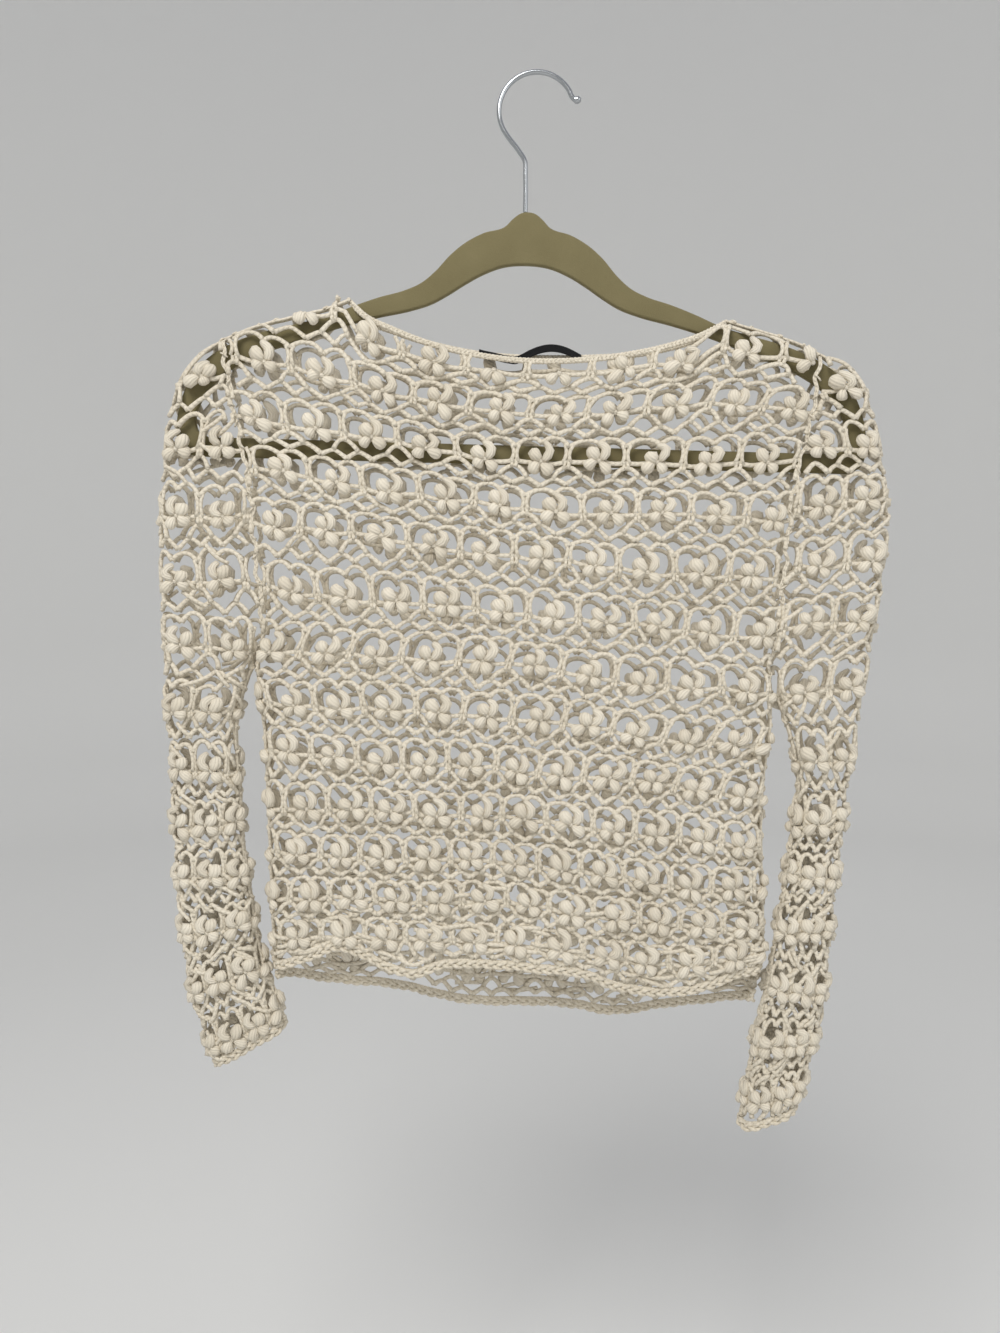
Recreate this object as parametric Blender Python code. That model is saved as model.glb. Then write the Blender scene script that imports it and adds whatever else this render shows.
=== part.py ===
"""A crochet top hanging on a flocked hanger.

Frame: metres, +Z up, origin on the inside of the hook's crown, where a peg or
rail carries it.  The front faces -Y and +X is to the right seen from the front.
The cloth is a wall with its raised flowers on the outside.  Each panel is a
grid of rows that run down from the neck and columns that run across, and both
are counted in stitch repeats, three grid steps to a repeat.
Tables and sizes are in millimetres; MM turns them into metres.
"""

import math

import bmesh
import bpy
import numpy as np

MM = 0.001

# ---------------------------------------------------------------- cloth sizes
WALL = 2.8                  # thickness of the crocheted wall
GAP = 0.3                   # space left between pieces that are sewn together
FLOWER_RELIEF = 3.0         # how far a flower's middle stands out of the wall
STEPS = 3                   # grid steps to one stitch repeat, each way
BODY_REPEATS = 10           # flowers across a panel
SLEEVE_REPEATS = 2          # flowers across half a sleeve
SLEEVE_FLOWERS = {1: (1, 4), 2: (2, 5)}  # their columns on the front and back half
SLEEVE_GAP = {1: 2, 2: 3}   # column between them where the gaps are cut
FLOWER_ROWS = 13            # rows of flowers down a panel
SUB_ROWS = (0.0, 0.22, 0.56)  # grid rows inside a repeat: flower, gap top, gap foot
ROW_SHIFT = 0.13            # every other row moves this share of a repeat
BODY_SHIFT = -0.125         # all rows of a panel move this share of a repeat
TOP_ROW_DROP = 3.2          # from the top edge to the first row, or more under the neck
# Height of each flower row on the front, at five shares of the width.  Over the
# left shoulder the first row lies behind the fold.
ROW_PLACES = (0.0, 0.2, 0.5, 0.8, 1.0)
ROW_LINES = (
    (-131.0, -155.1, -179.5, -173.1, -164.8),
    (-167.8, -184.0, -204.9, -199.2, -202.1),
    (-204.5, -216.8, -232.9, -234.4, -234.3),
    (-236.7, -247.9, -262.3, -266.9, -268.5),
    (-270.4, -278.9, -292.4, -302.5, -306.8),
    (-311.1, -318.2, -327.2, -337.3, -342.3),
    (-351.7, -353.1, -359.2, -373.5, -378.1),
    (-381.9, -386.4, -392.0, -406.3, -412.4),
    (-413.0, -418.8, -424.7, -435.0, -445.0),
    (-449.5, -450.6, -455.3, -468.2, -477.5),
    (-479.8, -480.2, -483.3, -498.4, -504.0),
    (-509.0, -507.0, -509.5, -523.8, -528.5),
    (-535.0, -531.4, -535.3, -548.7, -545.5),
)

# ------------------------------------------------------------- garment outline
# Left and right edges of the body panels: the armhole seam down to the armpit,
# then the side fold.  Columns: height, left x, right x.
BODY_EDGES = (
    (-159.0, -193.0, 176.5),
    (-178.0, -190.0, 174.0),
    (-200.0, -187.0, 171.5),
    (-218.0, -183.0, 168.0),
    (-252.0, -177.5, 160.5),
    (-294.0, -174.5, 156.5),
    (-318.0, -172.0, 154.5),
    (-338.0, -172.5, 153.0),
    (-357.0, -177.0, 150.0),
    (-378.0, -176.0, 152.0),
    (-396.0, -174.0, 152.0),
    (-430.0, -172.5, 148.5),
    (-470.0, -171.5, 147.5),
    (-515.0, -170.5, 149.5),
    (-545.0, -170.0, 150.0),
    (-580.0, -169.0, 145.0),
)
# Neck edge of the front and of the back.  Columns: x, front height, back height.
NECK_EDGE = (
    (-105.0, -148.5, -148.0),
    (-83.0, -158.5, -156.5),
    (-58.0, -167.0, -163.5),
    (-34.0, -172.0, -168.0),
    (-10.0, -175.0, -170.0),
    (15.0, -175.5, -170.5),
    (39.0, -174.0, -170.0),
    (63.0, -170.5, -168.5),
    (84.0, -166.0, -165.0),
    (101.0, -160.0, -159.5),
)
# Lower edge of the panels, above the hem edging.  Columns: x, front, back.
LOWER_EDGE = (
    (-169.0, -551.0, -562.0),
    (-158.0, -550.5, -562.5),
    (-145.0, -546.0, -565.0),
    (-120.0, -537.0, -569.0),
    (-95.0, -546.0, -573.0),
    (-74.0, -551.5, -577.5),
    (-60.0, -546.5, -580.5),
    (-28.0, -547.0, -584.5),
    (0.0, -548.5, -586.5),
    (28.0, -551.0, -587.5),
    (50.0, -561.0, -590.5),
    (80.0, -565.5, -587.5),
    (106.0, -561.5, -583.5),
    (123.0, -556.0, -580.0),
    (136.0, -554.5, -578.0),
    (145.0, -554.5, -577.5),
)
NECK_POINTS = (-113.0, 110.0)  # where the neck edge crosses the shoulder
NECK_COLUMNS = (6, 24)      # grid columns that end there
NECK_TURN = ((0.0, 0.0), (3.0, 50.0), (8.0, 90.0))  # inward step, turn in degrees

# Outer fold of each sleeve.  Columns: stage, x, height, where stage 0 is at the
# shoulder, 1 at the armpit and 2 at the cuff.
LEFT_OUTER = (
    (0.00, -203.5, -163.0),
    (0.10, -219.5, -180.5),
    (0.23, -229.5, -207.0),
    (0.39, -233.5, -237.0),
    (0.57, -236.5, -272.0),
    (0.77, -237.0, -312.0),
    (1.00, -236.0, -354.0),
    (1.16, -234.5, -394.0),
    (1.33, -231.8, -438.0),
    (1.49, -231.5, -478.0),
    (1.65, -229.5, -521.0),
    (1.83, -224.5, -568.0),
    (2.00, -210.0, -619.0),
)
LEFT_INNER = (
    (1.00, -177.0, -356.8),
    (1.16, -188.5, -396.0),
    (1.33, -187.5, -438.0),
    (1.49, -186.0, -477.0),
    (1.65, -181.0, -515.0),
    (1.83, -175.5, -550.0),
    (2.00, -162.0, -592.0),
)
RIGHT_OUTER = (
    (0.00, 190.5, -169.5),
    (0.10, 205.0, -187.0),
    (0.22, 213.5, -212.0),
    (0.40, 220.5, -246.5),
    (0.55, 223.0, -277.0),
    (0.71, 219.5, -311.0),
    (0.87, 214.5, -346.0),
    (1.00, 211.0, -374.0),
    (1.12, 206.0, -406.0),
    (1.22, 202.0, -434.0),
    (1.35, 198.0, -472.0),
    (1.54, 193.5, -528.0),
    (1.72, 189.0, -580.0),
    (1.84, 183.0, -612.0),
    (2.00, 174.0, -647.0),
)
RIGHT_INNER = (
    (1.00, 152.0, -378.0),
    (1.12, 163.0, -409.0),
    (1.22, 168.0, -436.0),
    (1.35, 164.5, -474.0),
    (1.54, 157.5, -528.0),
    (1.72, 149.0, -580.0),
    (1.84, 142.0, -617.0),
    (2.00, 135.0, -661.0),
)
SLEEVE_ROWS_BELOW = {"left": 7, "right": 8}  # flower rows from armpit to cuff
ARMPIT_ROW = {"left": 20, "right": 19}  # grid row of a panel that ends at the armpit

# How far the outside of the cloth stands from the middle plane of the hanger.
# Columns: height, front, back.
BODY_DEPTH = (
    (-130.0, 7.6, 7.6),
    (-175.0, 8.4, 8.2),
    (-240.0, 10.0, 9.2),
    (-300.0, 14.0, 11.0),
    (-400.0, 19.0, 13.5),
    (-500.0, 22.0, 15.5),
    (-600.0, 24.0, 17.0),
)
EDGE_DEPTH = 8.6            # the same at the armhole seams and side folds
FOLD_RADIUS = 9.0           # width of the turn at a body's side fold
CREST_RADIUS = 7.6          # width of the turn over the shoulder
ARMPIT_OPENING = 46.0       # height over which the seam turns into two folds
RIPPLE = 2.6                # depth of the soft waves at the hem
RIPPLE_COUNT = 3.5          # how many of them cross a panel
# Half depth and fold width of a sleeve.  Columns: stage, half depth, fold width.
SLEEVE_DEPTH = (
    (0.0, 7.6, 7.6),
    (0.5, 8.6, 8.6),
    (1.0, 10.0, 10.0),
    (1.4, 12.0, 11.5),
    (2.0, 13.0, 13.0),
)
EDGING_HEIGHT = 6.0         # hem and cuff edging
EDGING_SCALLOP = 1.8        # depth of its small scallops
NECK_CORD = 4.0             # thickness of the neck edging
LABEL_THICKNESS = 0.8
LABEL_PLACES = (0.0, 4.6)   # y of the label's lower and upper edge
LABEL_LEAN = 2.0            # how much lower its lower edge is
LABEL_BASE = 3.8            # height of its upper edge over the back neck edge
# Waves of the label, which is held at its ends.  Columns: x, rise.
LABEL_WAVES = (
    (-35.0, 2.2), (-26.0, 1.5), (-17.0, 0.6), (-11.0, 0.0), (-6.5, 0.6), (-3.0, 2.2),
    (3.0, 4.1), (11.0, 5.2), (19.0, 4.0), (24.0, 2.1), (29.0, 0.0),
)

# ---------------------------------------------------------------------- hanger
TILT = math.radians(1.55)   # the hanger hangs a little lower on the right
HANGER_MIDDLE = -2.5        # its centre line, before it tilts
HANGER_THICKNESS = 5.0
HANGER_BEVEL = 1.2
# Upper edge of an arm from the neck to the tip.  Columns: x from centre, height.
ARM_TOP = (
    (4.0, -82.5), (9.0, -86.0), (13.5, -90.6), (27.0, -95.0), (38.0, -101.0),
    (47.0, -108.5), (56.0, -118.5), (65.0, -126.0), (75.0, -130.6), (90.0, -135.0),
    (106.0, -140.8), (122.0, -147.4), (140.0, -152.3), (155.0, -156.0),
    (172.0, -161.5), (186.0, -168.0), (198.0, -176.5), (206.5, -187.0),
    (212.0, -199.0), (215.0, -212.0), (215.5, -223.0), (212.0, -231.5),
    (204.0, -235.2),
)
# Edge of the opening under an arm, from the centre line out to the bar.
ARM_UNDER = (
    (14.0, -114.8), (27.0, -119.8), (37.0, -125.5), (48.0, -132.6),
    (58.0, -138.2), (71.0, -142.6), (90.0, -147.0), (110.0, -152.5), (140.0, -163.0),
    (168.0, -173.5), (188.0, -186.0), (199.0, -199.0), (203.5, -212.0),
    (201.5, -220.0), (195.0, -223.2),
)
ARM_UNDER_MIDDLE = -113.4   # height of the opening's top on the centre line
WIRE = 3.0                  # diameter of the hook's wire
WIRE_BALL = 4.4             # ball on the end of the wire
HOOK_CENTRE = (0.7, -21.6)
HOOK_RADIUS = 23.1          # to the middle of the wire
HOOK_START = 33.0           # where the round part begins, degrees from +X
HOOK_END = 218.0            # where it turns into the shank
HOOK_TIP = ((27.4, -13.8), (24.6, -15.0), (22.2, -13.2))  # curl at the open end
HOOK_SHANK = ((-10.6, -44.6), (-6.8, -50.5), (-6.2, -60.0), (-6.2, -82.0))


# ------------------------------------------------------------------- curves
def smooth(knots, values, at):
    """Read a smooth curve through values at knots, along the first axis.

    Between two knots the value is a cubic whose slopes at the knots are the
    mean slopes of their neighbours (a Catmull-Rom curve).
    """
    knots = np.asarray(knots, float)
    values = np.asarray(values, float)
    at = np.clip(np.asarray(at, float), knots[0], knots[-1])
    slopes = np.gradient(values, knots, axis=0)
    left = np.clip(np.searchsorted(knots, at, side="right") - 1, 0, len(knots) - 2)
    tail = (1,) * (values.ndim - 1)
    span = (knots[left + 1] - knots[left]).reshape(-1, *tail)
    t = (at - knots[left]).reshape(-1, *tail) / span
    return ((2 * t**3 - 3 * t**2 + 1) * values[left]
            + (t**3 - 2 * t**2 + t) * span * slopes[left]
            + (3 * t**2 - 2 * t**3) * values[left + 1]
            + (t**3 - t**2) * span * slopes[left + 1])


def column(table, index):
    """One column of a table as an array."""
    return np.array([row[index] for row in table], float)


def by_height(table, index, heights):
    """Read a column of a table whose first column is a falling height."""
    return smooth(-column(table, 0), column(table, index), -np.asarray(heights, float))


def ease(share):
    """Go from 0 to 1 with level ends."""
    share = np.clip(share, 0.0, 1.0)
    return share * share * (3.0 - 2.0 * share)


def tilted(x, z):
    """Turn a point of the level hanger about the hook's crown."""
    return (x * math.cos(TILT) + z * math.sin(TILT), -x * math.sin(TILT) + z * math.cos(TILT))


def shoulder_height(x):
    """Height of the cloth's fold over the hanger's arms at each x."""
    lift = WALL + 2.6
    places = np.array([tilted(HANGER_MIDDLE + side * px, pz)
                       for side in (-1, 1) for px, pz in ARM_TOP[9:17]])
    places = places[np.argsort(places[:, 0])]
    return np.interp(x, places[:, 0], places[:, 1]) + lift


# ------------------------------------------------------------------- grids
def row_numbers():
    """Flower row number of each grid row; the top edge counts as row 0 too."""
    rows = [row + part for row in range(FLOWER_ROWS) for part in SUB_ROWS]
    return np.array([0.0] + rows)


def row_heights(across, top, foot, hang, in_neck=False):
    """Height of every grid row at each share of the width.

    A row is read between the flower lines that lie above and below it, the
    last of which is the foot.  hang is how much lower the foot is than on the
    front; the lines take it by their share of the rows, squared.
    """
    numbers = row_numbers()
    lines = smooth(ROW_PLACES, np.array(ROW_LINES).T, across.ravel()).reshape(*across.shape, -1)
    share = np.arange(FLOWER_ROWS) / numbers[-1]
    lines = lines + hang[..., None] * share ** 2
    first = top - TOP_ROW_DROP
    lines[..., 0] = np.where(in_neck, np.minimum(lines[..., 0], first), first)
    lines = np.concatenate([lines, np.broadcast_to(foot, across.shape)[..., None]], axis=-1)
    line = numbers.astype(int)
    part = np.where(line < FLOWER_ROWS - 1, numbers - line, (numbers - line) / SUB_ROWS[-1])
    rows = np.arange(len(numbers))
    z = (lines[rows, :, line].T * (1 - part) + lines[rows, :, line + 1].T * part).T
    z[0] = top
    return z


def flower_row_number(grid_row):
    """Which flower row a grid row belongs to; the top edge belongs to row 0."""
    return max(0, grid_row - 1) // STEPS


def across_shares(columns, rows, shift=0.0):
    """Share of the width at each column, moved sideways by shift and by the row
    shift, one way and the other on every other flower row."""
    base = np.arange(columns + 1) / columns
    inside = np.clip(np.minimum(np.arange(columns + 1), columns - np.arange(columns + 1)) / 2, 0, 1)
    side = np.array([1 if flower_row_number(row) % 2 else -1 for row in range(rows)])
    move = (shift + side * ROW_SHIFT) * STEPS / columns
    return base[None, :] + move[:, None] * inside[None, :]


def turn_along(distance, start, end, radius, width):
    """Walk across a section that turns at both ends.

    The walk starts at angle start of a quarter turn, goes straight, and ends
    at angle end of the other one; 90 degrees is flat.  Returns the in-plane
    step from the first edge, the sine of the turn, and its signed cosine.
    """
    quarter = math.pi / 2
    first = radius * (quarter - start)
    last = radius * (quarter - end)
    flat = width - radius * (np.cos(start) + np.cos(end))
    total = first + flat + last
    walked = distance * total
    angle_in = np.minimum(start + walked / radius, quarter)
    angle_out = np.minimum(end + (total - walked) / radius, quarter)
    from_start = radius * (np.cos(start) - np.cos(angle_in)) + np.maximum(walked - first, 0)
    over = np.maximum(walked - first - flat, 0)
    from_start = from_start - over + radius * np.cos(angle_out)
    return from_start, np.sin(angle_in) * np.sin(angle_out), np.cos(angle_in) - np.cos(angle_out)


def crest_angle(drop, start):
    """Turn over the shoulder at a drop below its top edge; 90 degrees is upright."""
    return np.arccos(np.clip(np.cos(start) - drop / CREST_RADIUS, 0.0, 1.0))


def top_columns():
    """x of each panel column at the top edge, and its turn over the shoulder."""
    first, last = NECK_COLUMNS
    count = BODY_REPEATS * STEPS
    x = np.empty(count + 1)
    turn = np.full(count + 1, math.pi / 2)
    x[:first + 1] = np.linspace(BODY_EDGES[0][1], NECK_POINTS[0], first + 1)
    x[last:] = np.linspace(NECK_POINTS[1], BODY_EDGES[0][2], count - last + 1)
    turn[:first] = 0.0
    turn[last + 1:] = 0.0
    for step, (inward, degrees) in enumerate(NECK_TURN):
        x[first + step] = NECK_POINTS[0] + inward
        x[last - step] = NECK_POINTS[1] - inward
        turn[first + step] = turn[last - step] = math.radians(degrees)
    inner = len(NECK_TURN) - 1
    x[first + inner:last - inner + 1] = np.linspace(
        x[first + inner], x[last - inner], last - first - 2 * inner + 1)
    return x, turn


def panel_edges(face):
    """Left and right edges of a panel: x, height and opening turn of each row.

    face is 1 for the front and 2 for the back, the column of the edge tables.
    """
    rows = len(row_numbers())
    tops = shoulder_height(np.array(BODY_EDGES[0][1:]))
    edges = []
    for index, side in ((0, "left"), (1, "right")):
        foot = LOWER_EDGE[-index][face]
        hang = np.full((rows, 1), foot - LOWER_EDGE[-index][1])
        heights = row_heights(np.full((rows, 1), float(index)), tops[index], foot, hang)[:, 0]
        x = by_height(BODY_EDGES, index + 1, heights)
        armpit = heights[ARMPIT_ROW[side]]
        opening = math.pi / 2 * ease((heights - armpit) / ARMPIT_OPENING)
        edges.append((x, heights, opening))
    return edges


def panel_grid(face):
    """Outer and inner points of the front (1) or back (2) panel.

    x goes from edge to edge, z follows the flower rows from the top edge to the
    lower edge, and the depth is the table's depth times the sine of each turn.
    """
    rows = len(row_numbers())
    columns = BODY_REPEATS * STEPS
    across = across_shares(columns, rows, BODY_SHIFT)
    (left_x, _, left_turn), (right_x, _, right_turn) = panel_edges(face)
    top_x, top_turn = top_columns()
    top_share = (top_x - top_x[0]) / (top_x[-1] - top_x[0])
    near_top = ((1 - np.maximum(np.arange(rows) - 2, 0) / (rows - 1)) ** 8)[:, None]
    across = across * (1 - near_top) + top_share[None, :] * near_top
    step, sine, cosine = turn_along(across, left_turn[:, None], right_turn[:, None],
                                    FOLD_RADIUS, (right_x - left_x)[:, None])
    x = left_x[:, None] + step
    neck = smooth(column(NECK_EDGE, 0), column(NECK_EDGE, face), top_x)
    shoulder = shoulder_height(top_x)
    top = np.where(top_turn > 1.2, neck, shoulder - CREST_RADIUS * (1 - np.cos(top_turn)))
    foot_x = left_x[-1] + (right_x[-1] - left_x[-1]) * across[-1]
    front_foot, foot = (smooth(column(LOWER_EDGE, 0), column(LOWER_EDGE, k), foot_x)
                        for k in (1, face))
    flower_lines = np.arange(STEPS - 1, columns, STEPS)
    foot[flower_lines] = (foot[flower_lines - 1] + foot[flower_lines + 1]) / 2
    z = row_heights(across, top, foot, np.broadcast_to(foot - front_foot, across.shape),
                    in_neck=top_turn > 1.2)
    turned = crest_angle(top - z, top_turn)
    middle = by_height(BODY_DEPTH, face, z.ravel()).reshape(z.shape)
    bulge = 1 - np.abs(2 * across - 1) ** 3
    ripple = RIPPLE * ease((np.arange(rows) / (rows - 1) - 0.45) / 0.55)[:, None] * np.sin(
        2 * math.pi * RIPPLE_COUNT * across + face) * bulge
    near = EDGE_DEPTH + (middle - EDGE_DEPTH) * bulge
    upper = ease((z + 240.0) / 60.0)
    depth = near * (1 - upper) + middle * upper + ripple
    depth[:, 0] = depth[:, -1] = EDGE_DEPTH
    return layer_points(face, x, z, depth, sine * np.sin(turned), -cosine, np.cos(turned),
                        edge_gap=(1, 1))


def layer_points(face, x, z, depth, sine, side_x, up, edge_gap, side_z=0.0):
    """Outer and inner points from in-plane places, depths and turns.

    The outside lies depth times sine from the middle plane.  The inside is one
    wall further in: towards that plane by the sine, and away from the fold,
    whose in-plane direction is (side_x, side_z) plus up, by the cosine.
    edge_gap moves the first and last column half a gap off the seam line.
    """
    toward = 1 if face == 2 else -1
    x = x.copy()
    x[:, 0] += edge_gap[0] * GAP / 2
    x[:, -1] -= edge_gap[1] * GAP / 2
    outer = np.stack([x, toward * (depth * sine + GAP / 2), z], axis=-1)
    inner = np.stack([x - WALL * side_x, toward * ((depth - WALL) * sine + GAP / 2),
                      z - WALL * (up + side_z)], axis=-1)
    return outer, inner


def sleeve_grid(side, face):
    """Outer and inner points of the front or back half of a sleeve.

    Rows are rungs from the outer fold to the armhole seam, and below the
    armpit to the inner fold.  Rows above the armpit end at the panel's rows.
    """
    sign = -1 if side == "left" else 1
    outer_table, inner_table = {"left": (LEFT_OUTER, LEFT_INNER),
                                "right": (RIGHT_OUTER, RIGHT_INNER)}[side]
    seam = 0 if side == "left" else -1
    panel_outer, panel_inner = panel_grid(face)
    edge_x, edge_z = panel_outer[:, seam, 0], panel_outer[:, seam, 2]
    edge_turn = panel_edges(face)[seam][2]
    armpit = ARMPIT_ROW[side]
    above = (edge_z[0] - edge_z[:armpit + 1]) / (edge_z[0] - edge_z[armpit])
    below_rows = SLEEVE_ROWS_BELOW[side] * STEPS
    below = 1 + (np.arange(below_rows) + 1) / below_rows
    stage = np.concatenate([above, below])
    fold_x = smooth(column(outer_table, 0), column(outer_table, 1), stage)
    fold_z = smooth(column(outer_table, 0), column(outer_table, 2), stage)
    inner_x = np.concatenate([edge_x[:armpit + 1], smooth(
        column(inner_table, 0), column(inner_table, 1), below)])
    inner_z = np.concatenate([edge_z[:armpit + 1], smooth(
        column(inner_table, 0), column(inner_table, 2), below)])
    opening = np.concatenate([edge_turn[:armpit + 1], np.zeros(below_rows)])
    inner_x = inner_x + sign * GAP
    width = np.hypot(inner_x - fold_x, inner_z - fold_z)
    radius = smooth(column(SLEEVE_DEPTH, 0), column(SLEEVE_DEPTH, 2), stage)
    half = smooth(column(SLEEVE_DEPTH, 0), column(SLEEVE_DEPTH, 1), stage)
    columns = SLEEVE_REPEATS * STEPS
    across = across_shares(columns, len(stage))
    step, sine, cosine = turn_along(across, np.zeros_like(stage)[:, None], opening[:, None],
                                    radius[:, None], width[:, None])
    along_x = ((inner_x - fold_x) / width)[:, None]
    along_z = ((inner_z - fold_z) / width)[:, None]
    x = fold_x[:, None] + step * along_x
    z = fold_z[:, None] + step * along_z
    crest = crest_angle(inner_z[0] - inner_z, 0.0)[:, None]
    depth = half[:, None] + (EDGE_DEPTH - half[:, None]) * across * (stage <= 1)[:, None]
    outer, inner = layer_points(face, x, z, depth, sine * np.sin(crest), -cosine * along_x,
                                np.cos(crest) * np.ones_like(x), edge_gap=(0, 0),
                                side_z=-cosine * along_z)
    outer[:armpit + 1, -1, 1:] = panel_outer[:armpit + 1, seam, 1:]
    inner[:armpit + 1, -1, 1:] = panel_inner[:armpit + 1, seam, 1:]
    if side == "right":
        outer, inner = outer[:, ::-1], inner[:, ::-1]
    return outer, inner


def raise_flowers(outer, face, columns):
    """Move the middle of each flower out of the wall, from the second row on."""
    toward = 1 if face == 2 else -1
    for row in range(1 + STEPS, outer.shape[0] - 1, STEPS):
        for col in columns:
            outer[row, col, 1] += toward * FLOWER_RELIEF
    return outer


def gap_cells(rows, columns, first_row=0):
    """Grid cells cut through: one below and beside each flower of a row."""
    return {(row, col) for row in range(2 + STEPS * first_row, rows - 3, STEPS)
            for col in columns}


# ------------------------------------------------------------------- solids
def make_object(name, bm, material):
    """Close the mesh, turn its faces outwards and put it in the scene."""
    bmesh.ops.remove_doubles(bm, verts=bm.verts, dist=0.00001)
    bmesh.ops.recalc_face_normals(bm, faces=bm.faces)
    mesh = bpy.data.meshes.new(name)
    bm.to_mesh(mesh)
    bm.free()
    mesh.materials.append(material)
    item = bpy.data.objects.new(name, mesh)
    bpy.context.scene.collection.objects.link(item)
    return item


def side_strip(bm, rows_out, rows_in, outer_line, inner_line):
    """Close the wall along one edge, whose inside may skip some points."""
    for start, end in zip(rows_in[:-1], rows_in[1:]):
        ring = [outer_line[k] for k in rows_out if start <= k <= end]
        near, far = inner_line[start], inner_line[end]
        bm.faces.new((ring[0], ring[1], near))
        for a, b in zip(ring[1:-1], ring[2:]):
            bm.faces.new((a, b, near))
        bm.faces.new((ring[-1], far, near))


def make_wall(name, outer, inner, holes, inner_rows, inner_columns, material):
    """A closed wall between an outer and an inner grid, with cells cut through."""
    rows, columns = outer.shape[:2]
    bm = bmesh.new()
    out = [[bm.verts.new(point * MM) for point in line] for line in outer]
    ins = {(r, c): bm.verts.new(inner[r, c] * MM) for r in inner_rows for c in inner_columns}
    for r in range(rows - 1):
        for c in range(columns - 1):
            if (r, c) not in holes:
                bm.faces.new((out[r][c], out[r + 1][c], out[r + 1][c + 1], out[r][c + 1]))
    for r, r2 in zip(inner_rows[:-1], inner_rows[1:]):
        for c, c2 in zip(inner_columns[:-1], inner_columns[1:]):
            if (r, c) not in holes:
                bm.faces.new((ins[r, c], ins[r, c2], ins[r2, c2], ins[r2, c]))
    for r, c in holes:
        ring = ((r, c), (r + 1, c), (r + 1, c + 1), (r, c + 1))
        for a, b in zip(ring, ring[1:] + ring[:1]):
            bm.faces.new((out[a[0]][a[1]], out[b[0]][b[1]], ins[b], ins[a]))
    every_row = range(rows)
    every_column = range(columns)
    for c in (0, columns - 1):
        side_strip(bm, every_row, inner_rows, {r: out[r][c] for r in every_row},
                   {r: ins[r, c] for r in inner_rows})
    for r in (0, rows - 1):
        side_strip(bm, every_column, inner_columns, dict(enumerate(out[r])),
                   {c: ins[r, c] for c in inner_columns})
    return make_object(name, bm, material)


def make_tube(name, rings, closed, material):
    """A solid through rings of points; a closed one joins its last ring to its first."""
    bm = bmesh.new()
    made = [[bm.verts.new(np.asarray(point, float) * MM) for point in ring] for ring in rings]
    pairs = list(zip(made[:-1], made[1:])) + ([(made[-1], made[0])] if closed else [])
    for first, second in pairs:
        for k in range(len(first)):
            n = (k + 1) % len(first)
            bm.faces.new((first[k], first[n], second[n], second[k]))
    if not closed:
        bm.faces.new(made[0][::-1])
        bm.faces.new(made[-1])
    return make_object(name, bm, material)


def make_material(name, colour, roughness, metallic=0.0):
    """A plain Principled material."""
    material = bpy.data.materials.new(name)
    material.use_nodes = True
    shader = material.node_tree.nodes["Principled BSDF"]
    shader.inputs["Base Color"].default_value = (*colour, 1.0)
    shader.inputs["Roughness"].default_value = roughness
    shader.inputs["Metallic"].default_value = metallic
    return material


# ------------------------------------------------------------------- pieces
def kept_lines(count, skipped, near_edge):
    """Grid lines that the plain inside keeps: all but the flower lines."""
    return [k for k in range(count)
            if k % STEPS != skipped or k <= near_edge or k >= count - 1 - near_edge]


def kept_columns():
    """The same for a panel's columns, with all that turn at the neck points."""
    first, last = NECK_COLUMNS
    turns = len(NECK_TURN)
    plain = kept_lines(BODY_REPEATS * STEPS + 1, STEPS - 1, 1)
    return sorted({*plain, *range(first, first + turns), *range(last + 1 - turns, last + 1)})


def build_panels(material):
    """Front and back panels of the body."""
    columns = BODY_REPEATS * STEPS
    flowers = range(STEPS - 1, columns - 1, STEPS)
    gaps = range(STEPS, columns - 1, STEPS)
    for face, name in ((1, "front_panel"), (2, "back_panel")):
        outer, inner = panel_grid(face)
        rows = outer.shape[0]
        holes = gap_cells(rows, gaps, first_row=1) | {(2, col) for col in gaps
                                                      if col > NECK_COLUMNS[0]}
        make_wall(name, raise_flowers(outer, face, flowers), inner, holes,
                  kept_lines(rows, 1, 3), kept_columns(), material)


def build_sleeves(material):
    """Both sleeves, each cut along its two folds into a front and a back half."""
    columns = SLEEVE_REPEATS * STEPS
    for side in ("left", "right"):
        for face, half in ((1, "front"), (2, "back")):
            outer, inner = sleeve_grid(side, face)
            rows = outer.shape[0]
            holes = gap_cells(rows, (SLEEVE_GAP[face],), first_row=1)
            raised = raise_flowers(outer, face, SLEEVE_FLOWERS[face])
            make_wall(f"{side}_sleeve_{half}", raised, inner, holes,
                      kept_lines(rows, 1, 3), list(range(columns + 1)), material)


def edging_rings(outer, inner, kept, count, scallops):
    """Rings of an edging that hangs below a lower edge, with small scallops.

    outer and inner are the wall's last row, whose inside has only the kept
    points; the band follows them GAP lower, and its lower side goes up and
    down in half sine waves.
    """
    along = np.linspace(0, len(outer) - 1, count)
    index = np.arange(len(outer))
    line_out = np.stack([np.interp(along, index, outer[:, k]) for k in range(3)], axis=-1)
    line_in = np.stack([np.interp(along, kept, inner[kept, k]) for k in range(3)], axis=-1)
    wave = np.abs(np.sin(math.pi * scallops * np.linspace(0, 1, count)))
    low = EDGING_HEIGHT - EDGING_SCALLOP * (1 - wave)
    rings = []
    for k in range(count):
        top = np.array([0, 0, -GAP])
        foot = np.array([0, 0, -GAP - low[k]])
        rings.append([line_out[k] + top, line_in[k] + top, line_in[k] + foot, line_out[k] + foot])
    return rings


def build_hem(material):
    """Edging along the lower edge of the front and of the back."""
    for face, name in ((1, "hem_edging_front"), (2, "hem_edging_back")):
        outer, inner = panel_grid(face)
        rings = edging_rings(outer[-1], inner[-1], kept_columns(), 61, 20)
        make_tube(name, rings, False, material)


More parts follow.
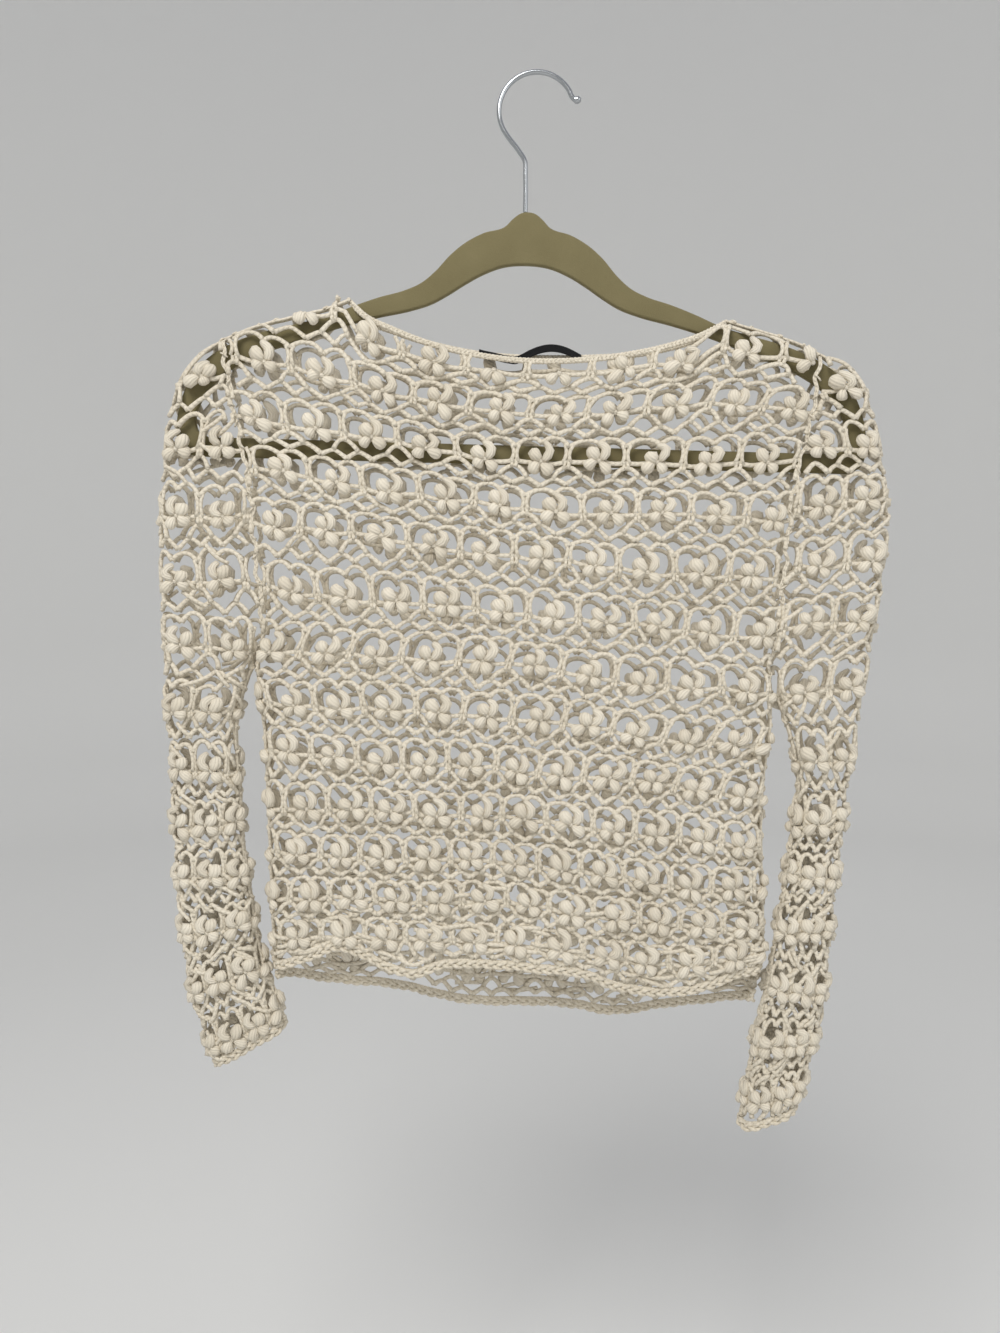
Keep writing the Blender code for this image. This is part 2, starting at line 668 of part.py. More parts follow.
def build_cuffs(material):
    """One ring of edging round each cuff, through the ends of both halves."""
    for side in ("left", "right"):
        front_out, front_in = sleeve_grid(side, 1)
        back_out, back_in = sleeve_grid(side, 2)
        outer = np.vstack([front_out[-1], back_out[-1][::-1]])
        inner = np.vstack([front_in[-1], back_in[-1][::-1]])
        outer = np.vstack([outer, outer[:1]])
        inner = np.vstack([inner, inner[:1]])
        rings = edging_rings(outer, inner, list(range(len(inner))), 29, 7)
        make_tube(f"{side}_cuff_edging", rings[:-1], True, material)


def neck_line(face):
    """Middle of the neck edging along the front or back neck edge."""
    outer, inner = panel_grid(face)
    first, last = NECK_COLUMNS
    middle = (outer[0, first:last + 1] + inner[0, first:last + 1]) / 2
    along = np.gradient(middle, axis=0)
    along /= np.linalg.norm(along, axis=1)[:, None]
    toward = np.array([0.0, 1.0 if face == 2 else -1.0, 0.0])
    up = np.cross(along, toward)
    up *= np.sign(up[:, 2])[:, None]
    up /= np.linalg.norm(up, axis=1)[:, None]
    middle = middle + up * (NECK_CORD / 2 + 2 * GAP)
    middle[0] = middle[-1] = np.nan
    return middle, up


def build_neck(material):
    """A cord round the neck opening, over the shoulder at both neck points."""
    front, _ = neck_line(1)
    back, _ = neck_line(2)
    tops = []
    for x in NECK_POINTS:
        inward = -3.4 * np.sign(x)
        tops.append(np.array([x + inward, 0.0, shoulder_height(x) + 0.6]))
    path = np.vstack([tops[0], front[1:-1], tops[1], back[1:-1][::-1]])
    along = np.roll(path, -1, axis=0) - np.roll(path, 1, axis=0)
    along /= np.linalg.norm(along, axis=1)[:, None]
    out = np.stack([0 * path[:, 0], path[:, 1], 0 * path[:, 0]], axis=-1)
    out[0] = (-1, 0, 0)
    out[len(front) - 1] = (1, 0, 0)
    side = np.cross(along, np.cross(out, along))
    side /= np.linalg.norm(side, axis=1)[:, None]
    up = np.cross(along, side)
    rings = []
    for k in range(len(path)):
        turns = np.radians(np.arange(6) * 60.0)
        rings.append([path[k] + NECK_CORD / 2 * (math.cos(t) * side[k] + math.sin(t) * up[k])
                      for t in turns])
    make_tube("neck_edging", rings, True, material)


def build_label(material):
    """Plain ribbon label inside the back neck, which leans back and waves."""
    outer, inner = panel_grid(2)
    x = np.linspace(LABEL_WAVES[0][0], LABEL_WAVES[-1][0], 33)
    rise = smooth(column(LABEL_WAVES, 0), column(LABEL_WAVES, 1), x)
    edge = (np.interp(x, inner[0, :, 0], inner[0, :, 2]) + np.interp(x, outer[0, :, 0], outer[0, :, 2])) / 2
    top = edge + LABEL_BASE + rise
    low = top - LABEL_LEAN
    front, back = LABEL_PLACES
    rings = [[(x[k], front, low[k]), (x[k], back, top[k]), (x[k], back, top[k] - LABEL_THICKNESS),
              (x[k], front, low[k] - LABEL_THICKNESS)] for k in range(len(x))]
    make_tube("neck_label", rings, False, material)


def build_hanger(material):
    """Arms and trouser bar in one flat piece with an open middle."""
    outline = ([(-x, z) for x, z in ARM_TOP[::-1]] + list(ARM_TOP))
    opening = ([(-x, z) for x, z in ARM_UNDER[::-1]] + [(0.0, ARM_UNDER_MIDDLE)]
               + list(ARM_UNDER))
    bm = bmesh.new()
    half = HANGER_THICKNESS / 2
    loops = []
    for points in (outline, opening):
        for y in (-half, half):
            made = []
            for px, pz in points:
                x, z = tilted(HANGER_MIDDLE + px, pz)
                made.append(bm.verts.new((x * MM, y * MM, z * MM)))
            loops.append(made)
    outer_front, outer_back, inner_front, inner_back = loops
    rims = []
    for front, back in ((outer_front, outer_back), (inner_front, inner_back)):
        for k in range(len(front)):
            n = (k + 1) % len(front)
            bm.faces.new((front[k], front[n], back[n], back[k]))
    for outer, inner in ((outer_front, inner_front), (outer_back, inner_back)):
        edges = []
        for ring in (outer, inner):
            edges += [bm.edges.get((ring[k], ring[(k + 1) % len(ring)]))
                      for k in range(len(ring))]
        rims += edges
        bmesh.ops.triangle_fill(bm, edges=edges, use_beauty=True)
    bmesh.ops.recalc_face_normals(bm, faces=bm.faces)
    bmesh.ops.bevel(bm, geom=rims, offset=HANGER_BEVEL * MM, segments=1, affect="EDGES",
                    clamp_overlap=True)
    make_object("hanger_body", bm, material)


def build_hook(material):
    """Bent wire: an open hook, a shank down to the hanger and a ball on the tip."""
    angles = np.radians(np.linspace(HOOK_START, HOOK_END, 17))
    arc = [(HOOK_CENTRE[0] + HOOK_RADIUS * math.cos(a), HOOK_CENTRE[1] + HOOK_RADIUS * math.sin(a))
           for a in angles]
    route = np.array(list(HOOK_TIP) + arc + list(HOOK_SHANK), float)
    lengths = np.concatenate([[0.0], np.cumsum(np.hypot(*np.diff(route, axis=0).T))])
    at = np.linspace(0, lengths[-1], 44)
    x = smooth(lengths, route[:, 0], at)
    z = smooth(lengths, route[:, 1], at)
    along = np.stack([np.gradient(x), np.gradient(z)], axis=-1)
    along /= np.linalg.norm(along, axis=1)[:, None]
    size = np.full(len(at), WIRE / 2)
    size[:3] = (WIRE_BALL * 0.28, WIRE_BALL * 0.5, WIRE_BALL * 0.42)
    rings = []
    for k in range(len(at)):
        across = (-along[k, 1], along[k, 0])
        turns = np.radians(np.arange(8) * 45.0)
        rings.append([(x[k] + size[k] * math.cos(t) * across[0], size[k] * math.sin(t),
                       z[k] + size[k] * math.cos(t) * across[1]) for t in turns])
    make_tube("hanger_hook", rings, False, material)


def main():
    """Empty the scene and build every piece."""
    for item in list(bpy.data.objects):
        bpy.data.objects.remove(item, do_unlink=True)
    yarn = make_material("cotton_yarn", (0.78, 0.72, 0.60), 0.9)
    edging = make_material("edging_yarn", (0.80, 0.74, 0.62), 0.9)
    flock = make_material("olive_flocking", (0.20, 0.18, 0.09), 0.95)
    chrome = make_material("chromed_wire", (0.62, 0.63, 0.64), 0.25, 1.0)
    satin = make_material("black_label", (0.012, 0.012, 0.014), 0.5)
    build_hanger(flock)
    build_hook(chrome)
    build_panels(yarn)
    build_sleeves(yarn)
    build_hem(edging)
    build_cuffs(edging)
    build_neck(edging)
    build_label(satin)


main()
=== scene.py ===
"""Looks of a crochet top that hangs on a flocked hanger.

The cloth is worked out as strands of cotton yarn that lie on the same surfaces
as the solids.  Each surface is a grid of rows that run down and columns that
run across, both counted in stitch repeats, and every arch, chain, petal and
knot is a tube along a path on it.  Tables and sizes are in millimetres, and MM
turns them into metres.
"""

import math

import bpy
import numpy as np
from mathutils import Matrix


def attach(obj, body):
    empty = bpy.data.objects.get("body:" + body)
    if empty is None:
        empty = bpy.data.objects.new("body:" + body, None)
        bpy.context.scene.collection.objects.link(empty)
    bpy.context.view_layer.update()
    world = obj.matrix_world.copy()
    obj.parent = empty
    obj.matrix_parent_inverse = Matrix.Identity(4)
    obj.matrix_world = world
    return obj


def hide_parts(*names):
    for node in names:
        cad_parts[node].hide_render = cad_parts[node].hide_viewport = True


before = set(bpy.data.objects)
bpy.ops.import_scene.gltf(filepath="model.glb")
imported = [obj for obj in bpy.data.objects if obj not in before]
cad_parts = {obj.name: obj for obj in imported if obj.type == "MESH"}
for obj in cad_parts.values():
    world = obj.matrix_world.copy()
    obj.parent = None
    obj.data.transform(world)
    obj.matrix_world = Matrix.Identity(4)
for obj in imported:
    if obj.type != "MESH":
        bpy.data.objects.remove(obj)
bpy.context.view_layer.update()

MM = 0.001

# ---------------------------------------------------------------- cloth sizes
WALL = 2.8                  # thickness of the solids' wall
GAP = 0.3                   # space that the solids leave at a seam
STEPS = 3                   # grid steps to one stitch repeat, each way
BODY_REPEATS = 10           # flowers across a panel
SLEEVE_REPEATS = 2          # flowers across half a sleeve
FLOWER_ROWS = 13            # rows of flowers down a panel
SUB_ROWS = (0.0, 0.22, 0.56)  # grid rows inside a repeat
TOP_ROW = -0.32             # row number that the grid gives to the top edge
TOP_STEPS = 8               # grid rows from the top edge to the second flower row
FIRST_FLOWER = 0.54         # place of a panel's first flower, in repeats
ROW_SHIFT = 0.13            # every other row moves this share of a repeat
SLEEVE_FIRST = 1.18         # place of a sleeve's first flower
SLEEVE_SHIFT = 0.06         # and how far every other row moves there
# Height of each flower row on the front, at five shares of the width.  Over the
# left shoulder the first row lies behind the fold.
ROW_PLACES = (0.0, 0.2, 0.5, 0.8, 1.0)
ROW_LINES = (
    (-131.0, -155.1, -179.5, -173.1, -164.8),
    (-167.8, -184.0, -204.9, -199.2, -202.1),
    (-204.5, -216.8, -232.9, -234.4, -234.3),
    (-236.7, -247.9, -262.3, -266.9, -268.5),
    (-270.4, -278.9, -292.4, -302.5, -306.8),
    (-311.1, -318.2, -327.2, -337.3, -342.3),
    (-351.7, -353.1, -359.2, -373.5, -378.1),
    (-381.9, -386.4, -392.0, -406.3, -412.4),
    (-413.0, -418.8, -424.7, -435.0, -445.0),
    (-449.5, -450.6, -455.3, -468.2, -477.5),
    (-479.8, -480.2, -483.3, -498.4, -504.0),
    (-509.0, -507.0, -509.5, -523.8, -528.5),
    (-535.0, -531.4, -535.3, -548.7, -545.5),
)
# Row number at the top edge, from the left of a panel to its right.
TOP_PLACES = (0.0, 1.4, 2.0, 5.0, 7.0, 8.0, 10.0)
TOP_ROWS = (0.58, 0.02, -0.24, -0.18, -0.30, -0.50, -0.20)
# First and last place across a panel, in repeats, at four rows.
WIDTH_ROWS = (0.0, 1.0, 5.2, 9.0)
WIDTH_FIRST = (0.08, 0.0, 0.0, -0.55)
WIDTH_LAST = (9.52, 10.0, 10.0, 11.45)
TOP_KEPT = 0.05             # share of the height that keeps the top edge's columns
TOP_FADE = 8                # power by which they turn into even ones below it
EVEN_COLUMNS = 91           # even places across at which a panel is read again

# Left and right edges of the body panels.  Columns: height, left x, right x.
BODY_EDGES = (
    (-159.0, -193.0, 176.5),
    (-178.0, -190.0, 174.0),
    (-200.0, -187.0, 171.5),
    (-218.0, -183.0, 168.0),
    (-252.0, -177.5, 160.5),
    (-294.0, -174.5, 156.5),
    (-318.0, -172.0, 154.5),
    (-338.0, -172.5, 153.0),
    (-357.0, -177.0, 150.0),
    (-378.0, -176.0, 152.0),
    (-396.0, -174.0, 152.0),
    (-430.0, -172.5, 148.5),
    (-470.0, -171.5, 147.5),
    (-515.0, -170.5, 149.5),
    (-545.0, -170.0, 150.0),
    (-580.0, -169.0, 145.0),
)
# Neck edge of the front and of the back.  Columns: x, front height, back height.
NECK_EDGE = (
    (-105.0, -148.5, -148.0),
    (-83.0, -158.5, -156.5),
    (-58.0, -167.0, -163.5),
    (-34.0, -172.0, -168.0),
    (-10.0, -175.0, -170.0),
    (15.0, -175.5, -170.5),
    (39.0, -174.0, -170.0),
    (63.0, -170.5, -168.5),
    (84.0, -166.0, -165.0),
    (101.0, -160.0, -159.5),
)
# Lower edge of the panels, above the hem edging.  Columns: x, front, back.
LOWER_EDGE = (
    (-169.0, -551.0, -562.0),
    (-158.0, -550.5, -562.5),
    (-145.0, -546.0, -565.0),
    (-120.0, -537.0, -569.0),
    (-95.0, -546.0, -573.0),
    (-74.0, -551.5, -577.5),
    (-60.0, -546.5, -580.5),
    (-28.0, -547.0, -584.5),
    (0.0, -548.5, -586.5),
    (28.0, -551.0, -587.5),
    (50.0, -561.0, -590.5),
    (80.0, -565.5, -587.5),
    (106.0, -561.5, -583.5),
    (123.0, -556.0, -580.0),
    (136.0, -554.5, -578.0),
    (145.0, -554.5, -577.5),
)
NECK_POINTS = (-113.0, 110.0)  # where the neck edge crosses the shoulder
NECK_COLUMNS = (6, 24)      # grid columns that end there
NECK_TURN = ((0.0, 0.0), (3.0, 50.0), (8.0, 90.0))  # inward step, turn in degrees
UPRIGHT = 1.2               # turn from which a column ends at the neck edge, in radians
# How the net's top edge moves at the neck points.  Columns: grid column, x, height.
NECK_MOVES = ((6, -1.5, -0.6), (7, -0.5, -8.0), (23, 6.8, -4.2), (24, 8.3, -3.1), (25, 2.2, -0.9))
NECK_RANGE = (2.0, 8.1)     # places across between which the neck edge is above
NECK_FADE = 0.4             # repeats over which that sets in
NO_CROWNS = (1.5, 7.2)      # between these the first flowers hang from the neck cord
CREST_PLACES = (-114.5, 117.5)  # x where the neck cord crosses the shoulder
CREST_CORD = 2.2            # how far below the fold's height it lies there
CREST_DROP = 1.0            # the same for the shoulder's seam
CREST_END = 1.04            # where that seam ends, as a share of the body edge's x

# Outer fold and inner fold of each sleeve.  Columns: stage, x, height, where
# stage 0 is at the shoulder, 1 at the armpit and 2 at the cuff.
LEFT_OUTER = (
    (0.00, -203.5, -163.0),
    (0.10, -219.5, -180.5),
    (0.23, -229.5, -207.0),
    (0.39, -233.5, -237.0),
    (0.57, -236.5, -272.0),
    (0.77, -237.0, -312.0),
    (1.00, -236.0, -354.0),
    (1.16, -234.5, -394.0),
    (1.33, -231.8, -438.0),
    (1.49, -231.5, -478.0),
    (1.65, -229.5, -521.0),
    (1.83, -224.5, -568.0),
    (2.00, -210.0, -619.0),
)
LEFT_INNER = (
    (1.00, -177.0, -356.8),
    (1.16, -188.5, -396.0),
    (1.33, -187.5, -438.0),
    (1.49, -186.0, -477.0),
    (1.65, -181.0, -515.0),
    (1.83, -175.5, -550.0),
    (2.00, -162.0, -592.0),
)
RIGHT_OUTER = (
    (0.00, 190.5, -169.5),
    (0.10, 205.0, -187.0),
    (0.22, 213.5, -212.0),
    (0.40, 220.5, -246.5),
    (0.55, 223.0, -277.0),
    (0.71, 219.5, -311.0),
    (0.87, 214.5, -346.0),
    (1.00, 211.0, -374.0),
    (1.12, 206.0, -406.0),
    (1.22, 202.0, -434.0),
    (1.35, 198.0, -472.0),
    (1.54, 193.5, -528.0),
    (1.72, 189.0, -580.0),
    (1.84, 183.0, -612.0),
    (2.00, 174.0, -647.0),
)
RIGHT_INNER = (
    (1.00, 152.0, -378.0),
    (1.12, 163.0, -409.0),
    (1.22, 168.0, -436.0),
    (1.35, 164.5, -474.0),
    (1.54, 157.5, -528.0),
    (1.72, 149.0, -580.0),
    (1.84, 142.0, -617.0),
    (2.00, 135.0, -661.0),
)
SLEEVE_ROWS_BELOW = {"left": 7, "right": 8}  # flower rows from armpit to cuff
# Height of each flower row at the middle of a sleeve, from one above its top.
SLEEVE_LINES = {
    "left": (-140.0, -181.0, -226.0, -266.0, -308.0, -348.0, -389.0, -427.0, -461.0, -495.0,
             -529.0, -563.0, -597.0, -631.0),
    "right": (-153.0, -190.0, -225.0, -258.0, -296.0, -334.0, -375.0, -421.0, -461.0, -495.0,
              -531.0, -570.0, -606.0, -640.0, -674.0),
}
SLEEVE_MIDDLE = 3.8         # place across of a sleeve's outer fold, in repeats
# Repeats from there to a seam, at four stages; the yarn bunches up to the cuff.
REACH_STAGES = (1.0, 1.3, 1.7, 2.0)
REACH = (2.3, 2.75, 3.5, 3.8)
ARMPIT_ROW = {"left": 24, "right": 23}  # grid row of a panel that ends at the armpit

# Depth of the cloth's outside from the hanger's middle plane.
# Columns: height, front, back.
BODY_DEPTH = (
    (-130.0, 7.6, 7.6),
    (-175.0, 8.4, 8.2),
    (-240.0, 10.0, 9.2),
    (-300.0, 14.0, 11.0),
    (-400.0, 19.0, 13.5),
    (-500.0, 22.0, 15.5),
    (-600.0, 24.0, 17.0),
)
EDGE_DEPTH = 8.6            # the same at the armhole seams and side folds
FOLD_RADIUS = 9.0           # width of the turn at a body's side fold
CREST_RADIUS = 7.6          # width of the turn over the shoulder
ARMPIT_OPENING = 46.0       # height over which the seam turns into two folds
RIPPLE = 2.6                # depth of the soft waves at the hem
RIPPLE_COUNT = 3.5          # how many of them cross a panel
RIPPLE_START = 0.45         # share of the height that has none
BULGE_POWER = 3             # how late a section falls away to its edges
LEVEL_FROM = -240.0         # height above which a section turns level across
LEVEL_OVER = 60.0           # and how much higher it is so
# Half depth and fold width of a sleeve.  Columns: stage, half depth, fold width.
SLEEVE_DEPTH = (
    (0.0, 7.6, 7.6),
    (0.5, 8.6, 8.6),
    (1.0, 10.0, 10.0),
    (1.4, 12.0, 11.5),
    (2.0, 13.0, 13.0),
)
EDGING_HEIGHT = 6.0         # hem and cuff edging
EDGING_SCALLOP = 0.8        # depth of its small scallops
HEM_SCALLOPS = 14
CUFF_SCALLOPS = 5
CHAIN_WAVE = 0.25           # share of the scallops that the chain above follows
NECK_CORD = 4.0             # thickness of the neck edging
NECK_SPACE = 0.9            # between it and the net's edge
# Plaits.  Columns: swing across, swing in and out, half thickness of a strand,
# length of a turn.
NECK_PLAIT = (0.95, 0.55, 1.05, 7.2)
EDGE_ROPE = (1.9, 0.95, 1.3, 19.0)
EDGE_CHAIN = (0.55, 0.4, 0.85, 7.0)
PLAIT_SIDES = 6
# Seams.  Columns: distance to each of its chains, half width of one, their sway.
ARMHOLE_SEAM = (0.6, 0.75, 1.6)
SIDE_SEAM = (1.5, 1.15, 0.9)
CREST_SEAM = (1.4, 1.1, 0.5)
SEAM_STEP = 1.1             # between the points of a seam
LOOP_STEP = 13.0            # from one loop over a seam to the next
# Slack strands over the hem: rows above it where they set in and where all are
# there, and how steep they go.  On a sleeve they set in at the first flower row.
HEM_SLACK = (1.9, 0.5, 0.07)
CUFF_SLACK = (2.0, 0.26)
SLACK_STRANDS = 4           # of them to a flower
LABEL_THICKNESS = 0.4
LABEL_PLACES = (0.0, 4.6)   # y of the label's lower and upper edge
LABEL_LEAN = 5.4            # how much lower its lower edge is
LABEL_BASE = 3.6            # height of its upper edge over the back neck edge
# Waves of the label, which is held at its ends.  Columns: x, rise.
LABEL_WAVES = (
    (-35.0, 1.6), (-26.0, 0.6), (-17.0, -0.6), (-12.0, -0.8), (-8.0, 0.9), (-4.0, 3.2),
    (1.0, 5.4), (11.0, 7.2), (20.0, 5.2), (25.0, 2.8), (29.0, 0.6),
)

# ---------------------------------------------------------------------- yarn
CORD_WIDE = 1.5             # half width of a chain of stitches, along the cloth
CORD_THICK = 1.22           # half its thickness
STITCH = 3.3                # length of one chain stitch
FOOT_SWELL = 0.24           # how much thicker an arch is where it is worked in
FOOT_REACH = 0.13           # share of the arch that is
ARCH_CHANCE = (0.05, 0.16, 1.0)  # chance spans of an arch: height, size and lift
POST_SIZE = (0.86, 0.95)    # width and thickness of a post's strand, of a chain's
SLACK_SIZE = 0.9            # the same of a slack strand, each way
# Slow uneven pulls of hand work, across and down.  Columns: size in repeats,
# how fast each goes across and down, and its start.
PULLS = (
    ((0.030, 2.3, 1.9, 1.0), (0.022, 4.9, -3.1, 2.1)),
    ((0.030, 1.7, -2.6, 1.3), (0.020, 5.3, 4.3, 0.7)),
)
# Places in a stitch repeat, in repeats across and flower rows up (-) or down (+).
PILLAR_TOP = -0.30          # where the arches over a flower meet on a pillar
PILLAR_OVER = 0.05          # how far the pillar goes on behind them
PILLAR_FOOT = 0.02
PILLAR_WAIST = 0.024        # half the space between a pillar's strands
PILLAR_SPREAD = 0.045       # and how much more it is at both ends
POST_PINCH = 0.035          # half the space between the strands below a pillar
FLOWER_TOP = -0.34          # where a flower's right upper petal holds the arches
CROWN_PEAK = -0.46          # top of the arches above a flower
NET_FOOT = 0.47             # foot of the arches below a flower
NET_PEAK = 0.32             # and their top
SMALL_PEAK = 0.12           # top of the arch below a pillar
BAR_SAG = 0.035             # sag of the bars between a flower and the pillars
NET_POWER = 1.45            # how round each kind of arch is
SMALL_POWER = 1.9
CROWN_POWER = 2.2
# What lies outside a cloth is left out, in repeats and rows.
SIDE_MARGIN = 0.06          # least distance of a stitch's middle from an edge
SIDE_STOP = 0.03            # least distance of any of its points from a side
OVER_CREST = 0.01           # how far past a top edge stitches' middles may lie
PETAL_BELOW = 0.02          # and how far below it those of petals have to
TOP_TUCK = 0.02             # how far past it their points may lie
NECK_TUCK = 0.08            # and how much further at the neck edge
ROW_LENGTH = 30.0           # millimetres to a row past a top edge
# Petals of a flower: half width, half thickness, size at each of PETAL_PLACES,
# and the route, in millimetres across and down from the flower's middle, by its
# root, two places on the way and its tip.
PETAL_PLACES = (0.0, 0.16, 0.36, 0.58, 0.78, 0.93, 1.0)
BALL = (0.55, 0.88, 1.10, 1.16, 1.02, 0.70, 0.32)
HOOKED = (0.62, 0.92, 1.08, 1.08, 0.93, 0.68, 0.36)
SMALL = (0.34, 0.68, 1.00, 1.16, 1.08, 0.78, 0.38)
PETALS = (
    (3.4, 2.8, BALL, ((-0.6, -0.6), (-2.5, -2.5), (-4.1, -4.9), (-4.6, -7.6))),
    (2.72, 2.52, HOOKED, ((1.2, -0.6), (4.5, -3.2), (5.0, -7.2), (0.6, -10.6))),
    (3.1, 2.5, SMALL, ((-1.0, 0.6), (-3.2, 2.2), (-5.2, 4.0), (-7.0, 5.9))),
    (3.1, 2.5, SMALL, ((0.8, 0.8), (2.8, 2.5), (4.7, 4.5), (6.3, 6.6))),
)
PETAL_CHANCE = (0.45, 0.2, 0.8, 0.2)  # chance spans: turn, length, lift and size
PETAL_LIFT = 1.7            # how far a petal's middle stands off the cloth
PETAL_LOBES = 5             # loops of yarn that show round a petal
LOBE_DEPTH = 0.12
LUMPS = 0.22                # unevenness of a petal's loops
KNOT_WIDE = (0.8, 1.8, 1.8, 0.8)  # half width along the knot in a flower's middle
KNOT_THICK = (0.7, 1.4, 1.4, 0.7)
KNOT_LIFT = 1.6
LEAST_PITCH = 18.0          # a repeat counts for no less when petals are laid
MAP_MIDDLE = 0.5            # the caps of tubes take this place in the strand map

# ---------------------------------------------------------------------- hanger
TILT = math.radians(1.55)   # the hanger hangs a little lower on the right
HANGER_MIDDLE = -2.5        # its centre line, before it tilts
HANGER_THICKNESS = 5.0
HANGER_BEVEL = 1.5
OVER_HANGER = 2.6           # from the hanger's arm to the cloth's inside
HANGER_POINTS = 300         # round each outline, without the bar
BAR_POINTS = 100
RIM_POINTS = 9              # over each long edge of the section
# Upper edge of an arm from the neck to the tip.  Columns: x from centre, height.
ARM_TOP = (
    (4.0, -82.5), (9.0, -86.0), (13.5, -90.6), (27.0, -95.0), (38.0, -101.0),
    (47.0, -108.5), (56.0, -118.5), (65.0, -126.0), (75.0, -130.6), (90.0, -135.0),
    (106.0, -140.8), (122.0, -147.4), (140.0, -152.3), (155.0, -156.0),
    (172.0, -161.5), (186.0, -168.0), (198.0, -176.5), (206.5, -187.0),
    (212.0, -199.0), (215.0, -212.0), (215.5, -223.0), (212.0, -231.5),
    (204.0, -235.2),
)
# Edge of the opening under an arm, from the centre line out to the bar.
ARM_UNDER = (
    (14.0, -114.8), (27.0, -119.8), (37.0, -125.5), (48.0, -132.6),
    (58.0, -138.2), (71.0, -142.6), (90.0, -147.0), (110.0, -152.5), (140.0, -163.0),
    (168.0, -173.5), (188.0, -186.0), (199.0, -199.0), (203.5, -212.0),
    (201.5, -220.0), (195.0, -223.2),
)
ARM_UNDER_MIDDLE = -113.4   # height of the opening's top on the centre line
UNDER_CLOTH = slice(9, 17)  # points of ARM_TOP that the cloth lies over
WIRE = 3.0                  # diameter of the hook's wire
WIRE_BALL = 4.4             # ball on the end of the wire
BALL_LONG = 2.3             # half its length
BALL_START = 0.3            # its first ring
WIRE_STEP = 0.8             # between the rings of the wire
WIRE_SIDES = 20
HOOK_CENTRE = (0.7, -21.6)
HOOK_RADIUS = 23.1          # to the middle of the wire
HOOK_START = 33.0           # where the round part begins, degrees from +X
HOOK_END = 218.0            # where it turns into the shank
HOOK_TIP = ((27.4, -13.8), (24.6, -15.0), (22.2, -13.2))  # curl at the open end
HOOK_SHANK = ((-10.6, -44.6), (-6.8, -50.5), (-6.2, -60.0), (-6.2, -82.0))

# ---------------------------------------------------------------------- camera
CAMERA_PLACE = (-0.0219, -0.635, -0.3124)
CAMERA_PITCH = 4.43         # degrees below the horizon
FOCAL = 36.0                # the same as the sensor's width
# Lamps.  Columns: name, place, size, watts, colour.
LAMPS = (
    ("key_light", (-0.6, -1.5, 1.25), 1.0, 34.0, (1.0, 0.985, 0.96)),
    ("fill_light", (1.5, -1.3, 0.2), 1.6, 7.0, (0.97, 0.98, 1.0)),
    ("back_light", (0.4, 1.8, 1.1), 1.4, 3.5, (1.0, 1.0, 1.0)),
)
LAMPS_FACE = (0.0, 0.0, -0.33)
WORLD_COLOUR = (0.94, 0.95, 1.0, 1.0)
WORLD_STRENGTH = 0.44
# Floor and wall in metres.  Columns: radius, height.
FLOOR_PROFILE = (
    (0.02, -1.05), (1.6, -1.05), (2.4, -1.02), (2.75, -0.85), (2.95, -0.5), (3.0, 0.2), (3.0, 1.8),
)
FLOOR_SIDES = 96
FLOOR_COLOUR = (0.80, 0.80, 0.785, 1.0)

# --------------------------------------------------------------------- colours
CREAM = (0.80, 0.735, 0.61)
PUFF_CREAM = (0.825, 0.76, 0.635)
# Deep cream of darker strands and patches, and also the painted shade in the grooves between the
# yarn's loops.
CREAM_TONE_AND_SHADE = (0.56, 0.49, 0.37)
OLIVE_DEEP = (0.158, 0.134, 0.066)
OLIVE = (0.235, 0.203, 0.108)
BLACK_DEEP = (0.003, 0.003, 0.0035)
BLACK = (0.010, 0.010, 0.011)
WIRE_GREY = (0.46, 0.48, 0.50, 1.0)


# ------------------------------------------------------------------- curves
def smooth(knots, values, at):
    """Read a smooth curve through values at knots, along the first axis.

    Between two knots the value is a cubic whose slopes at the knots are the
    mean slopes of their neighbours (a Catmull-Rom curve).
    """
    knots = np.asarray(knots, float)
    values = np.asarray(values, float)
    at = np.clip(np.asarray(at, float), knots[0], knots[-1])
    slopes = np.gradient(values, knots, axis=0)
    left = np.clip(np.searchsorted(knots, at, side="right") - 1, 0, len(knots) - 2)
    tail = (1,) * (values.ndim - 1)
    span = (knots[left + 1] - knots[left]).reshape(-1, *tail)
    t = (at - knots[left]).reshape(-1, *tail) / span
    return ((2 * t**3 - 3 * t**2 + 1) * values[left]
            + (t**3 - 2 * t**2 + t) * span * slopes[left]
            + (3 * t**2 - 2 * t**3) * values[left + 1]
            + (t**3 - t**2) * span * slopes[left + 1])


def column(table, index):
    """One column of a table as an array."""
    return np.array([row[index] for row in table], float)


def by_height(table, index, heights):
    """Read a column of a table whose first column is a falling height."""
    return smooth(-column(table, 0), column(table, index), -np.asarray(heights, float))


def by_stage(table, index, stage):
    """Read a column of a sleeve's table at each stage."""
    return smooth(column(table, 0), column(table, index), stage)


def ease(share):
    """Go from 0 to 1 with level ends."""
    share = np.clip(share, 0.0, 1.0)
    return share * share * (3.0 - 2.0 * share)


def ease_between(knots, at):
    """Number of knots passed, going from one to the next with level ends."""
    whole = np.interp(at, knots, np.arange(len(knots)))
    return np.floor(whole) + ease(whole % 1.0)


def unit(vectors):
    """Vectors along the last axis at length 1."""
    return vectors / np.maximum(np.linalg.norm(vectors, axis=-1, keepdims=True), 1e-9)


def tilted(x, z):
    """Turn a point of the level hanger about the hook's crown."""
    return x * math.cos(TILT) + z * math.sin(TILT), -x * math.sin(TILT) + z * math.cos(TILT)


